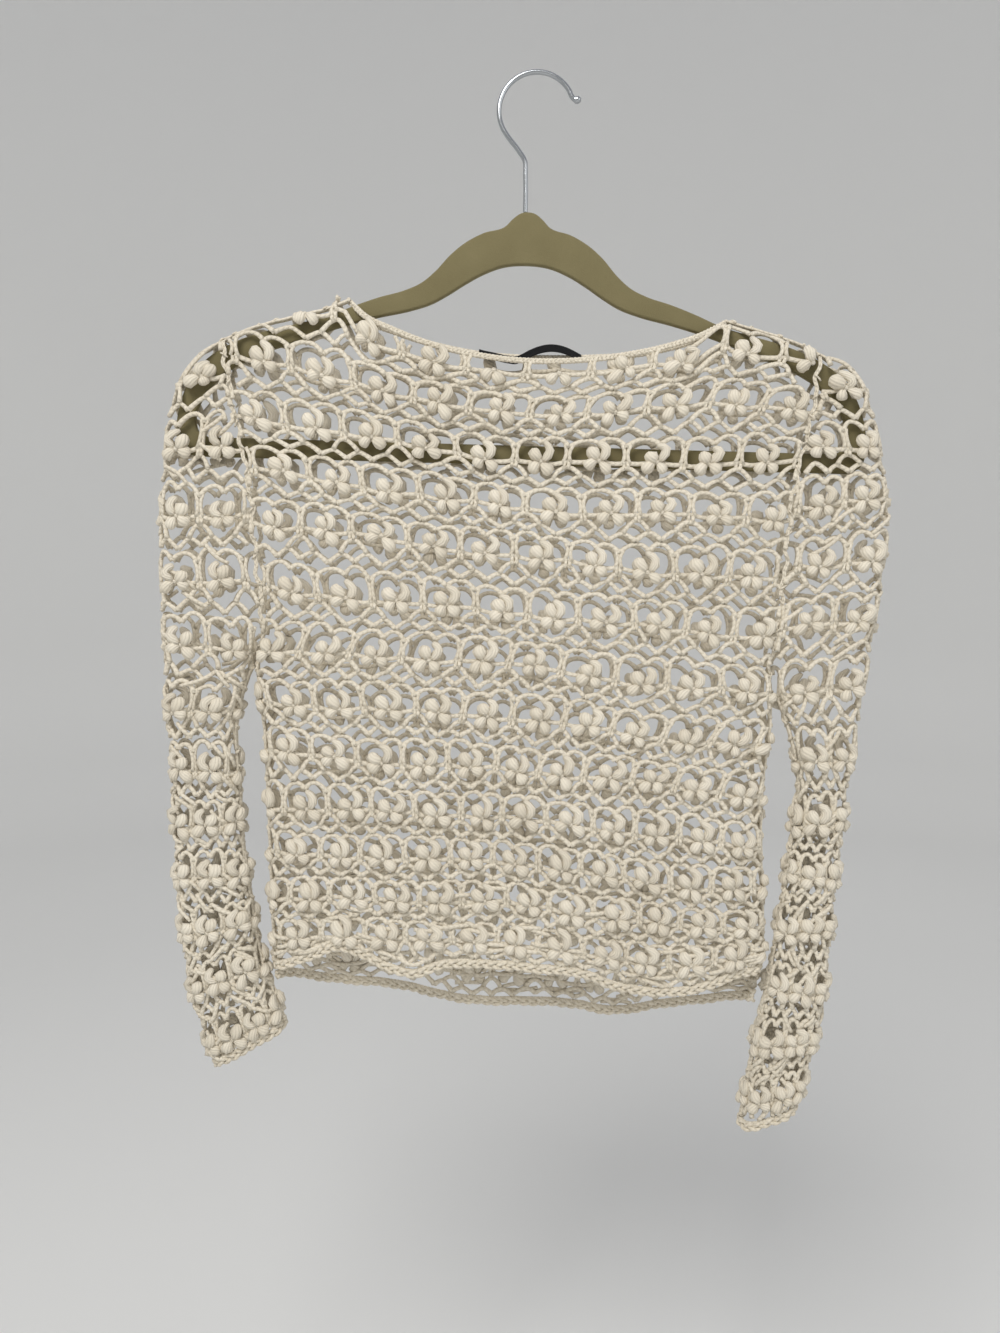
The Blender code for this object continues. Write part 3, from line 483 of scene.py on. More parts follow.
def shoulder_height(x):
    """Height of the cloth's fold over the hanger's arms at each x."""
    places = np.array([tilted(HANGER_MIDDLE + side * px, pz)
                       for side in (-1, 1) for px, pz in ARM_TOP[UNDER_CLOTH]])
    places = places[np.argsort(places[:, 0])]
    return np.interp(x, places[:, 0], places[:, 1]) + (WALL + OVER_HANGER)


def walk(path):
    """Length walked along a path at each of its points."""
    return np.concatenate([[0.0], np.cumsum(np.linalg.norm(np.diff(path, axis=0), axis=1))])


def evenly(path, step):
    """Points along a path a step apart: the length walked is divided evenly and
    each coordinate is read from a smooth curve over that length."""
    walked = walk(path)
    count = max(int(walked[-1] / step), 2) + 1
    return smooth(walked, path, np.linspace(0, walked[-1], count))


# ------------------------------------------------------------------- cloth grids
def row_numbers():
    """Flower row number of each grid row: even steps lead from the top edge to
    the second flower row, and three to each row after it."""
    rows = [row + part for row in range(FLOWER_ROWS) for part in SUB_ROWS]
    return np.concatenate([np.linspace(TOP_ROW, 1.0, TOP_STEPS + 1)[:-1], rows[STEPS:]])


def down_shares():
    """How far down each grid row counts for shapes that fade with the height."""
    below = FLOWER_ROWS * STEPS - 3
    counts = np.concatenate([np.linspace(0, 4, TOP_STEPS + 1)[:-1], 4 + np.arange(below)])
    return counts / counts[-1]


def row_heights(across, top, foot, hang):
    """Height of every grid row at each share of the width.

    From the second flower row down a row is read between the flower lines that
    lie above and below it, the last of which is the foot.  hang is how much
    lower the foot is than on the front; rows take it by their share, squared.
    """
    numbers = row_numbers()
    lines = smooth(ROW_PLACES, np.array(ROW_LINES).T, across.ravel()).reshape(*across.shape, -1)
    share = np.arange(FLOWER_ROWS) / numbers[-1]
    lines = lines + hang[..., None] * share ** 2
    lines = np.concatenate([lines, np.broadcast_to(foot, across.shape)[..., None]], axis=-1)
    line = np.clip(numbers, 0, FLOWER_ROWS - 1).astype(int)
    part = np.where(line < FLOWER_ROWS - 1, numbers - line, (numbers - line) / (numbers[-1] % 1))
    rows = np.arange(len(numbers))
    z = (lines[rows, :, line].T * (1 - part) + lines[rows, :, line + 1].T * part).T
    early = np.linspace(0, 1, TOP_STEPS + 1)[:-1, None]
    z[:TOP_STEPS] = top * (1 - early) + lines[:TOP_STEPS, :, 1] * early
    return z


def turn_along(distance, start, end, radius, width):
    """Walk across a section that turns at both ends.

    The walk starts at angle start of a quarter turn, goes straight, and ends
    at angle end of the other one; 90 degrees is flat.  Returns the in-plane
    step from the first edge, the sine of the turn, and its signed cosine.
    """
    quarter = math.pi / 2
    first = radius * (quarter - start)
    last = radius * (quarter - end)
    flat = width - radius * (np.cos(start) + np.cos(end))
    total = first + flat + last
    walked = distance * total
    angle_in = np.minimum(start + walked / radius, quarter)
    angle_out = np.minimum(end + (total - walked) / radius, quarter)
    from_start = radius * (np.cos(start) - np.cos(angle_in)) + np.maximum(walked - first, 0)
    over = np.maximum(walked - first - flat, 0)
    from_start = from_start - over + radius * np.cos(angle_out)
    return from_start, np.sin(angle_in) * np.sin(angle_out), np.cos(angle_in) - np.cos(angle_out)


def crest_angle(drop, start):
    """Turn over the shoulder at a drop below its top edge; 90 degrees is upright."""
    return np.arccos(np.clip(np.cos(start) - drop / CREST_RADIUS, 0.0, 1.0))


def top_columns():
    """x of each panel column at the top edge, and its turn over the shoulder."""
    first, last = NECK_COLUMNS
    count = BODY_REPEATS * STEPS
    x = np.empty(count + 1)
    turn = np.full(count + 1, math.pi / 2)
    x[:first + 1] = np.linspace(BODY_EDGES[0][1], NECK_POINTS[0], first + 1)
    x[last:] = np.linspace(NECK_POINTS[1], BODY_EDGES[0][2], count - last + 1)
    turn[:first] = 0.0
    turn[last + 1:] = 0.0
    for step, (inward, degrees) in enumerate(NECK_TURN):
        x[first + step] = NECK_POINTS[0] + inward
        x[last - step] = NECK_POINTS[1] - inward
        turn[first + step] = turn[last - step] = math.radians(degrees)
    inner = len(NECK_TURN) - 1
    x[first + inner:last - inner + 1] = np.linspace(
        x[first + inner], x[last - inner], last - first - 2 * inner + 1)
    return x, turn


def panel_edges(face):
    """Left and right edges of a panel: x, height and opening turn of each row.

    face is 1 for the front and 2 for the back, the column of the edge tables.
    """
    rows = len(row_numbers())
    tops = shoulder_height(np.array(BODY_EDGES[0][1:]))
    edges = []
    for index, side in ((0, "left"), (1, "right")):
        foot = LOWER_EDGE[-index][face]
        hang = np.full((rows, 1), foot - LOWER_EDGE[-index][1])
        heights = row_heights(np.full((rows, 1), float(index)), tops[index], foot, hang)[:, 0]
        x = by_height(BODY_EDGES, index + 1, heights)
        armpit = heights[ARMPIT_ROW[side]]
        opening = math.pi / 2 * ease((heights - armpit) / ARMPIT_OPENING)
        edges.append((x, heights, opening))
    return edges


def panel_shares():
    """Share of the width at each column of a panel, row by row: even at the
    foot, and nearer to those of the top edge the higher the row."""
    columns = BODY_REPEATS * STEPS
    top_x, _ = top_columns()
    top_share = (top_x - top_x[0]) / (top_x[-1] - top_x[0])
    near_top = ((1 - np.maximum(down_shares() - TOP_KEPT, 0)) ** TOP_FADE)[:, None]
    even = np.arange(columns + 1)[None, :] / columns
    return even * (1 - near_top) + top_share[None, :] * near_top


def panel_grid(face):
    """Outer and inner points of the front (1) or back (2) panel's wall.

    x goes from edge to edge, z follows the flower rows from the top edge to the
    lower edge, and the depth is the table's depth times the sine of each turn.
    """
    (left_x, _, left_turn), (right_x, _, right_turn) = panel_edges(face)
    top_x, top_turn = top_columns()
    across = panel_shares()
    step, sine, cosine = turn_along(across, left_turn[:, None], right_turn[:, None],
                                    FOLD_RADIUS, (right_x - left_x)[:, None])
    x = left_x[:, None] + step
    neck = smooth(column(NECK_EDGE, 0), column(NECK_EDGE, face), top_x)
    shoulder = shoulder_height(top_x)
    top = np.where(top_turn > UPRIGHT, neck, shoulder - CREST_RADIUS * (1 - np.cos(top_turn)))
    foot_x = left_x[-1] + (right_x[-1] - left_x[-1]) * across[-1]
    front_foot, foot = (smooth(column(LOWER_EDGE, 0), column(LOWER_EDGE, k), foot_x)
                        for k in (1, face))
    z = row_heights(across, top, foot, np.broadcast_to(foot - front_foot, across.shape))
    turned = crest_angle(top - z, top_turn)
    middle = by_height(BODY_DEPTH, face, z.ravel()).reshape(z.shape)
    bulge = 1 - np.abs(2 * across - 1) ** BULGE_POWER
    fade = ease((down_shares() - RIPPLE_START) / (1 - RIPPLE_START))[:, None]
    ripple = RIPPLE * fade * np.sin(2 * math.pi * RIPPLE_COUNT * across + face) * bulge
    near = EDGE_DEPTH + (middle - EDGE_DEPTH) * bulge
    upper = ease((z - LEVEL_FROM) / LEVEL_OVER)
    depth = near * (1 - upper) + middle * upper + ripple
    depth[:, 0] = depth[:, -1] = EDGE_DEPTH
    return layer_points(face, x, z, depth, sine * np.sin(turned), -cosine, np.cos(turned))


def layer_points(face, x, z, depth, sine, side_x, up, side_z=0.0):
    """Outer and inner points from in-plane places, depths and turns.

    The outside lies depth times sine from the middle plane.  The inside is one
    wall further in: towards that plane by the sine, and away from the fold,
    whose in-plane direction is (side_x, side_z) plus up, by the cosine.
    """
    toward = 1 if face == 2 else -1
    outer = np.stack([x, toward * (depth * sine + GAP / 2), z], axis=-1)
    inner = np.stack([x - WALL * side_x, toward * ((depth - WALL) * sine + GAP / 2),
                      z - WALL * (up + side_z)], axis=-1)
    return outer, inner


def sleeve_grid(side, face):
    """Outer and inner points of the front or back half of a sleeve.

    Rows are rungs from the outer fold to the armhole seam, and below the
    armpit to the inner fold.  Also returns the width of each rung.
    """
    sign = -1 if side == "left" else 1
    outer_table, inner_table = {"left": (LEFT_OUTER, LEFT_INNER),
                                "right": (RIGHT_OUTER, RIGHT_INNER)}[side]
    seam = 0 if side == "left" else -1
    panel_outer, panel_inner = panel_grid(face)
    edge_x, edge_z = panel_outer[:, seam, 0], panel_outer[:, seam, 2]
    edge_turn = panel_edges(face)[seam][2]
    armpit = ARMPIT_ROW[side]
    above = (edge_z[0] - edge_z[:armpit + 1]) / (edge_z[0] - edge_z[armpit])
    below_rows = SLEEVE_ROWS_BELOW[side] * STEPS
    below = 1 + (np.arange(below_rows) + 1) / below_rows
    stage = np.concatenate([above, below])
    fold_x, fold_z = by_stage(outer_table, 1, stage), by_stage(outer_table, 2, stage)
    inner_x = np.concatenate([edge_x[:armpit + 1], by_stage(inner_table, 1, below)]) + sign * GAP
    inner_z = np.concatenate([edge_z[:armpit + 1], by_stage(inner_table, 2, below)])
    opening = np.concatenate([edge_turn[:armpit + 1], np.zeros(below_rows)])
    width = np.hypot(inner_x - fold_x, inner_z - fold_z)
    radius, half = by_stage(SLEEVE_DEPTH, 2, stage), by_stage(SLEEVE_DEPTH, 1, stage)
    columns = SLEEVE_REPEATS * STEPS
    across = np.tile(np.arange(columns + 1) / columns, (len(stage), 1))
    step, sine, cosine = turn_along(across, np.zeros_like(stage)[:, None], opening[:, None],
                                    radius[:, None], width[:, None])
    along_x = ((inner_x - fold_x) / width)[:, None]
    along_z = ((inner_z - fold_z) / width)[:, None]
    x = fold_x[:, None] + step * along_x
    z = fold_z[:, None] + step * along_z
    crest = crest_angle(inner_z[0] - inner_z, 0.0)[:, None]
    depth = half[:, None] + (EDGE_DEPTH - half[:, None]) * across * (stage <= 1)[:, None]
    outer, inner = layer_points(face, x, z, depth, sine * np.sin(crest), -cosine * along_x,
                                np.cos(crest) * np.ones_like(x), side_z=-cosine * along_z)
    outer[:armpit + 1, -1, 1:] = panel_outer[:armpit + 1, seam, 1:]
    inner[:armpit + 1, -1, 1:] = panel_inner[:armpit + 1, seam, 1:]
    return outer, inner, width


class Cloth:
    """The middle surface of a piece of cloth, read at any place on it.

    A place is across, in stitch repeats, and down, in flower rows.  Points are
    read between the nodes of a fine grid that a smooth curve fills, first down
    the rows and then across them; the normal is the cross product of the two
    directions.  Places above the top edge go on along the edge's own direction
    and bend over the shoulder.  low and high are the first and last place across
    at each of the rows in downs, and armpit, on a sleeve, is the row at its armpit.
    """

    FINE = 6                # fine steps to one grid step down

    def __init__(self, middle, downs, across_last, outward, low, high, fine_across=FINE):
        columns = np.linspace(0, across_last, middle.shape[1])
        self.top, self.end, self.last = downs[0], downs[-1], across_last
        rows = np.linspace(self.top, self.end, self.FINE * (len(downs) - 1) + 1)
        fine = np.linspace(0, across_last, fine_across * (middle.shape[1] - 1) + 1)
        points = smooth(downs, middle, rows)
        self.points = smooth(columns, points.swapaxes(0, 1), fine).swapaxes(0, 1)
        down = np.gradient(self.points, axis=0)
        across = np.gradient(self.points, axis=1)
        self.downward = unit(down)
        self.normals = unit(np.cross(down, across)) * outward
        self.low, self.high = (downs, low), (downs, high)

    def limits(self, down):
        """First and last place across at each row."""
        return np.interp(down, *self.low), np.interp(down, *self.high)

    def at(self, across, down, lift, low=None, high=None):
        """Point and outward normal at each place, lifted off the surface."""
        if low is None:
            low, high = self.limits(down)
        width = np.maximum(high - low, 1e-6)
        rows, columns = self.points.shape[:2]
        over = np.maximum(self.top - down, 0) * ROW_LENGTH
        r = np.clip((down - self.top) / (self.end - self.top), 0, 1) * (rows - 1)
        c = np.clip((across - low) / width, 0, 1) * (columns - 1)
        r0 = np.minimum(r.astype(int), rows - 2)
        c0 = np.minimum(c.astype(int), columns - 2)
        fr, fc = (r - r0)[..., None], (c - c0)[..., None]

        def read(grid):
            return ((grid[r0, c0] * (1 - fc) + grid[r0, c0 + 1] * fc) * (1 - fr)
                    + (grid[r0 + 1, c0] * (1 - fc) + grid[r0 + 1, c0 + 1] * fc) * fr)

        normal, downward = unit(read(self.normals)), unit(read(self.downward))
        point = read(self.points) - downward * over[..., None]
        point = point - normal * (over**2 / (2 * CREST_RADIUS))[..., None]
        normal = unit(normal - downward * (over / CREST_RADIUS)[..., None])
        return point + normal * np.asarray(lift)[..., None], normal


def panel_cloth(face):
    """A body panel's middle surface, read again at even shares of the width."""
    outer, inner = panel_grid(face)
    downs = row_numbers()
    even = np.linspace(0, 1, EVEN_COLUMNS)
    grid = (outer + inner) / 2
    fade = 1 - np.arange(TOP_STEPS) / TOP_STEPS
    for place, x, height in NECK_MOVES:
        grid[:TOP_STEPS, place] += fade[:, None] * np.array([x, 0.0, height])
    middle = np.stack([smooth(share, row, even) for share, row in zip(panel_shares(), grid)])
    passed = ease_between(WIDTH_ROWS, downs)
    low, high = (np.interp(passed, np.arange(len(WIDTH_ROWS)), places)
                 for places in (WIDTH_FIRST, WIDTH_LAST))
    return Cloth(middle, downs, BODY_REPEATS, 1 if face == 1 else -1, low, high, fine_across=2)


def sleeve_cloth(side):
    """A sleeve as one surface from its front seam round the outer fold to its
    back seam.

    Its grid rows take their row numbers from the heights of the flower rows.
    Above the armpit a narrow rung holds fewer repeats, so that the stitches
    keep their size, and below it more and more of them crowd together.
    """
    front_out, front_in, width = sleeve_grid(side, 1)
    back_out, back_in, _ = sleeve_grid(side, 2)
    front, back = (front_out + front_in) / 2, (back_out + back_in) / 2
    middle = np.concatenate([front[:, ::-1], back[:, 1:]], axis=1)
    middle[:, SLEEVE_REPEATS * STEPS, 1] = 0.0
    armpit = ARMPIT_ROW[side]
    lines = np.array(SLEEVE_LINES[side])
    heights = front[:, SLEEVE_REPEATS * STEPS // 2, 2]
    downs = np.interp(-heights, -lines, np.arange(len(lines)) - 1.0)
    below = np.arange(len(width)) - armpit
    reach = np.interp(1 + below / below[-1], REACH_STAGES, REACH) * np.minimum(
        1.0, np.where(below < 0, width / width[armpit], 1.0))
    cloth = Cloth(middle, downs, 2 * SLEEVE_MIDDLE, -1 if side == "left" else 1,
                  SLEEVE_MIDDLE - reach, SLEEVE_MIDDLE + reach)
    cloth.armpit = downs[armpit]
    return cloth


# ------------------------------------------------------------------- meshes
def put(name, data):
    """An object for a mesh, lamp or camera, in the scene."""
    thing = bpy.data.objects.new(name, data)
    bpy.context.scene.collection.objects.link(thing)
    return thing


def mesh_piece(name, points, faces, maps, materials):
    """A smooth piece of the body, from points in millimetres, with its strand map."""
    mesh = bpy.data.meshes.new(name)
    mesh.from_pydata((points * MM).tolist(), [], faces)
    layer = mesh.uv_layers.new(name="Strand")
    layer.uv.foreach_set("vector", maps.astype(np.float32).ravel())
    mesh.shade_smooth()
    for material in materials:
        mesh.materials.append(material)
    piece = put(name, mesh)
    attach(piece, "root")
    return piece


def stand_for(piece, slot, *nodes):
    """Let a piece stand for solids by hiding them; slot is not used."""
    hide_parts(*nodes)
    return piece


def grid_quads(rows, columns, closed_across=False, closed_down=False):
    """Faces between the points of a grid, as (quads, 4), and the row and column
    number at which each begins."""
    r = np.arange(rows if closed_down else rows - 1)[:, None]
    c = np.arange(columns if closed_across else columns - 1)[None, :]
    r2, c2 = (r + 1) % rows, (c + 1) % columns
    corners = (r * columns + c, r * columns + c2, r2 * columns + c2, r2 * columns + c)
    return np.stack(corners, axis=-1).reshape(-1, 4), r, c


def quad_maps(u0, u1, v0, v1):
    """Map places of the four corners of every quad, as (corners, 2)."""
    corners = ((u0, v0), (u1, v0), (u1, v1), (u0, v1))
    pairs = [np.stack(np.broadcast_arrays(u, v), axis=-1) for u, v in corners]
    return np.stack(pairs, axis=-2).reshape(-1, 2)


class Yarn:
    """Gathers tubes into one mesh, with a strand map and a tone for each tube.

    A tube's ring lies square to its path.  Its corners are at cos(a) times the
    width along the cloth plus sin(a) times the thickness along the normal, and
    a lobed tube swells and sinks round the ring as cos(lobes * a).  The strand
    map runs once round the tube and one unit to a stitch along it.
    """

    def __init__(self, seed):
        self.points, self.faces, self.maps, self.slots, self.tones = [], [], [], [], []
        self.count = 0
        self.random = np.random.default_rng(seed)

    def tubes(self, paths, normals, wide, thick, sides, slot=0, lobes=0, closed=False):
        """Add tubes along paths of shape (tubes, points, 3)."""
        tubes, rings = paths.shape[:2]
        if closed:
            along = np.roll(paths, -1, axis=1) - np.roll(paths, 1, axis=1)
        else:
            along = np.gradient(paths, axis=1)
        along = unit(along)
        side = unit(np.cross(normals, along))
        up = np.cross(along, side)
        turn = np.arange(sides) * 2 * math.pi / sides
        swell = 1 + LOBE_DEPTH * np.cos(lobes * turn) if lobes else np.ones(sides)
        wide = np.broadcast_to(wide, (tubes, rings))[:, :, None, None]
        thick = np.broadcast_to(thick, (tubes, rings))[:, :, None, None]
        if lobes:
            swell = swell * (1 + LUMPS * (self.random.random((tubes, rings, sides)) - 0.5))
        cos, sin = (np.cos(turn) * swell)[..., None], (np.sin(turn) * swell)[..., None]
        points = paths[:, :, None] + side[:, :, None] * cos * wide + up[:, :, None] * sin * thick
        base = self.count + np.arange(tubes) * rings * sides
        one, ring, corner = grid_quads(rings, sides, True, closed)
        quads = (base[:, None, None] + one).reshape(-1, 4)
        steps = np.linalg.norm(np.diff(paths, axis=1, append=paths[:, :1]), axis=-1) / STITCH
        length = np.cumsum(steps, axis=1)[:, :, None]
        starts = np.concatenate([np.zeros_like(length[:, :1]), length[:, :-1]], axis=1)
        starts = starts + self.random.random((tubes, 1, 1))
        ends = starts + steps[:, :, None]
        maps = quad_maps(corner / sides, (corner + 1) / sides,
                         starts[:, :ring.size], ends[:, :ring.size])
        self.points.append(points.reshape(-1, 3))
        self.faces.extend(quads.tolist())
        self.maps.append(maps)
        added = len(quads)
        if not closed:
            first = (base[:, None] + np.arange(sides)[::-1]).tolist()
            last = (base[:, None] + (rings - 1) * sides + np.arange(sides)).tolist()
            self.faces.extend(first + last)
            self.maps.append(np.full((2 * tubes * sides, 2), MAP_MIDDLE))
            added += 2 * tubes
        self.slots.append(np.full(added, slot))
        self.tones.append(np.repeat(self.random.random(tubes), rings * sides))
        self.count += tubes * rings * sides

    def piece(self, name, materials):
        """The tubes as one piece, with each tube's tone and material."""
        piece = mesh_piece(name, np.concatenate(self.points), self.faces,
                           np.concatenate(self.maps), materials)
        tone = piece.data.attributes.new("tone", "FLOAT", "POINT")
        tone.data.foreach_set("value", np.concatenate(self.tones).astype(np.float32))
        slots = np.concatenate(self.slots).astype(np.int32)
        piece.data.polygons.foreach_set("material_index", slots)
        return piece


def grid_piece(name, points, material, closed_across=False, closed_down=False, caps=False):
    """A piece through a grid of points (rows, columns, 3), with a map of one
    unit each way; caps close its first and last row."""
    rows, columns = points.shape[:2]
    quads, r, c = grid_quads(rows, columns, closed_across, closed_down)
    faces = quads.tolist()
    maps = quad_maps(c / c.size, (c + 1) / c.size, r / r.size, (r + 1) / r.size)
    if caps:
        faces.append(list(range(columns))[::-1])
        faces.append(list(range((rows - 1) * columns, rows * columns)))
        maps = np.concatenate([maps, np.full((2 * columns, 2), MAP_MIDDLE)])
    return mesh_piece(name, points.reshape(-1, 3), faces, maps, [material])


# ------------------------------------------------------------------- stitches
def wander(across, down, seed):
    """Small uneven pulls of hand work across and down: sums of slow sine waves."""
    return [sum(size * np.sin(a * across + d * down + phase * seed) for size, a, d, phase in waves)
            for waves in PULLS]


def run(start, end, points):
    """Straight runs from start to end, both (runs, 2), as (runs, points, 2)."""
    t = np.linspace(0, 1, points)[None, :, None]
    return start[:, None] * (1 - t) + end[:, None] * t


def arch(start, end, peak, power, points=11):
    """Arches from start to end whose middle is at height peak.

    The height falls away from the middle as the distance to a power: 1 makes a
    tent, 2 a parabola, and more a rounder arch.
    """
    t = np.linspace(0, 1, points)[None, :]
    across = start[:, :1] * (1 - t) + end[:, :1] * t
    level = start[:, 1:] * (1 - t) + end[:, 1:] * t
    rise = 1 - np.abs(2 * t - 1) ** power
    down = level + (peak - (start[:, 1:] + end[:, 1:]) / 2) * rise
    return np.stack([across, down], axis=-1)


def offset(places, across, down):
    """Places moved by a step across and down."""
    return places + np.array([across, down], float)


class Net:
    """Works the stitches of one cloth into a Yarn.

    flowers are the places of its flowers, row by row, where every other row is
    shifted.  tops holds places across and the row number at the top edge there,
    and neck the first and last place that hang from the neck edge.
    """

    def __init__(self, cloth, yarn, first, shift, seed, tops, neck=(0.0, 0.0)):
        self.cloth, self.yarn, self.seed, self.tops, self.neck = cloth, yarn, seed, tops, neck
        rows = np.arange(0, int(math.ceil(cloth.end)) + 1)
        counts = np.arange(-2, int(np.max(cloth.high[1])) + 2)
        down, count = np.meshgrid(rows, counts, indexing="ij")
        sign = np.where(down % 2 == 1, 1, -1) * shift
        self.flowers = np.stack([first + count + sign, down], axis=-1).reshape(-1, 2).astype(float)

    def top_at(self, across):
        """Row number at the top edge."""
        return smooth(*self.tops, across.ravel()).reshape(across.shape)

    def kept(self, paths, tip=None):
        """Which paths lie on the cloth, by their middle and, where tip is given, by
        their last point, which may be that far outside."""
        middle = paths.mean(axis=1)
        low, high = self.cloth.limits(middle[:, 1])
        keep = (middle[:, 0] > low + SIDE_MARGIN) & (middle[:, 0] < high - SIDE_MARGIN)
        keep &= middle[:, 1] < self.cloth.end - SIDE_MARGIN
        over = -PETAL_BELOW
        if tip is None:
            over = OVER_CREST * (1 - self.below_neck(middle[:, 0]))
        keep &= middle[:, 1] > self.top_at(middle[:, 0]) - over
        if tip is not None:
            keep &= (paths[:, -1, 0] > low - tip) & (paths[:, -1, 0] < high + tip)
            keep &= paths[:, -1, 1] < self.cloth.end + tip
        return keep

    def below_neck(self, across):
        """1 where the neck edge is above and 0 where the shoulder is."""
        low, high = self.neck
        return ease((across - low) / NECK_FADE) * ease((high - across) / NECK_FADE)

    def laid(self, across, down):
        """Rows as the cloth's grid counts them: those above the second one are
        spread between it and the top edge, and nothing goes further past that
        edge than it may."""
        top = self.top_at(across)
        down = np.maximum(down, top - TOP_TUCK - NECK_TUCK * self.below_neck(across))
        first = self.cloth.top
        spread = 1 - (1 - down) * (1 - first) / (1 - top)
        return np.where(down < 1, np.where(down < top, first + down - top, spread), down)

    def add(self, paths, lift, wide, thick, sides=5, slot=0, lobes=0, tip=None):
        """Lay paths (tubes, points, 2) on the cloth and add them as tubes."""
        keep = self.kept(paths, tip)
        paths = paths[keep]
        if not len(paths):
            return
        lift = np.broadcast_to(lift, (len(keep), paths.shape[1]))[keep]
        a, d = wander(paths[..., 0], paths[..., 1], self.seed)
        across, down = paths[..., 0] + a, paths[..., 1] + d
        low, high = self.cloth.limits(down)
        across = np.clip(across, low + SIDE_STOP, high - SIDE_STOP)
        down = self.laid(across, np.minimum(down, self.cloth.end))
        points, normals = self.cloth.at(across, down, lift, low, high)
        self.yarn.tubes(points, normals, wide, thick, sides, slot, lobes)

    def loose(self, paths, size=1.0):
        """A chance number from -size/2 to size/2 for each path."""
        return size * (self.yarn.random.random((len(paths), 1)) - 0.5)

    def arches(self, start, end, peak, power):
        """A row of arches, thicker at their feet and lying over what they hold."""
        high_chance, size_chance, lift_chance = ARCH_CHANCE
        paths = arch(start, end, peak + self.loose(start, high_chance), power)
        t = np.linspace(0, 1, paths.shape[1])
        foot = np.exp(-(t / FOOT_REACH) ** 2) + np.exp(-((1 - t) / FOOT_REACH) ** 2)
        size = (1 + FOOT_SWELL * foot) * (1 + self.loose(paths, size_chance))
        lift = 0.75 * foot - 0.25 + self.loose(paths, lift_chance) * (1 - foot)
        self.add(paths, lift, self.sized(paths, CORD_WIDE * size),
                 self.sized(paths, CORD_THICK * size))

    def sized(self, paths, size):
        """The sizes of the paths that are kept."""
        return np.broadcast_to(size, paths.shape[:2])[self.kept(paths)]

    def petals(self, wide, thick, form, route):
        """One petal of every flower: a puff along a route from the flower's middle,
        standing off the cloth on the way, each a little different."""
        turn_chance, long_chance, lift_chance, size_chance = PETAL_CHANCE
        t = np.array(PETAL_PLACES)
        line = smooth(np.linspace(0, 1, len(route)), np.array(route), t)[None]
        turn = self.loose(self.flowers, turn_chance)[..., None]
        line = (line * (1 + self.loose(self.flowers, long_chance)[..., None])
                + turn * line[..., ::-1] * (-1, 1))
        paths = self.flowers[:, None] + line / self.pitch()[:, None]
        lift = (0.4 + PETAL_LIFT * np.sin(math.pi * (0.15 + 0.7 * t))
                + self.loose(paths, lift_chance))
        size = np.array(form) * (1 + self.loose(paths, size_chance))
        size = size[self.kept(paths, 0.0)]
        self.add(paths, lift, wide * size, thick * size,
                 sides=2 * PETAL_LOBES, slot=1, lobes=PETAL_LOBES, tip=0.0)

    def pitch(self):
        """Millimetres to one repeat across and to one row down at each flower, read
        a tenth of each to both sides of it."""
        across, down = self.flowers[:, 0], self.flowers[:, 1]
        low, high = self.cloth.limits(down)
        across = np.clip(across, low, high)
        steps = []
        for step in ((0.1, 0.0), (0.0, 0.1)):
            ends = []
            for way in (-1, 1):
                a, d = across + way * step[0], down + way * step[1]
                ends.append(self.cloth.at(a, self.laid(a, d), 0.0 * down)[0])
            steps.append(np.linalg.norm(ends[1] - ends[0], axis=1) / 0.2)
        return np.maximum(np.stack(steps, axis=-1), LEAST_PITCH)

    def pair(self, start, end, pinch, lift, points=5):
        """Two strands side by side, apart by pinch along their length."""
        wide, thick = POST_SIZE
        for side in (-1, 1):
            paths = run(start, end, points)
            paths[:, :, 0] += side * pinch
            self.add(paths, lift + 0.25 * side, CORD_WIDE * wide, CORD_THICK * thick)

    def gathers(self, first, full, rise):
        """Slack strands over the net where it bunches up: none above the row first
        and all from the row full on, as steep as rise, and most of them one way."""
        random = self.yarn.random
        places = np.repeat(self.flowers, SLACK_STRANDS, axis=0)
        places = places[random.random(len(places)) < (places[:, 1] - first) / (full - first)]
        start = places + (random.random(places.shape) - 0.5) * (1.0, 0.9)
        step = 0.42 + 0.3 * random.random(len(places))
        side = np.where(random.random(len(places)) < 0.7, 1.0, -1.0)
        end = start + np.stack([step, -rise * side * (0.7 + 0.6 * random.random(len(places)))], -1)
        sag = (start[:, 1:] + end[:, 1:]) / 2 + 0.12 * (random.random((len(places), 1)) - 0.5)
        paths = arch(start, end, sag, 2.0, 9)
        lift = 1.9 * np.sin(math.pi * np.linspace(0.05, 0.95, 9)) + self.loose(paths, 0.9)
        self.add(paths, lift, CORD_WIDE * SLACK_SIZE, CORD_THICK * SLACK_SIZE)

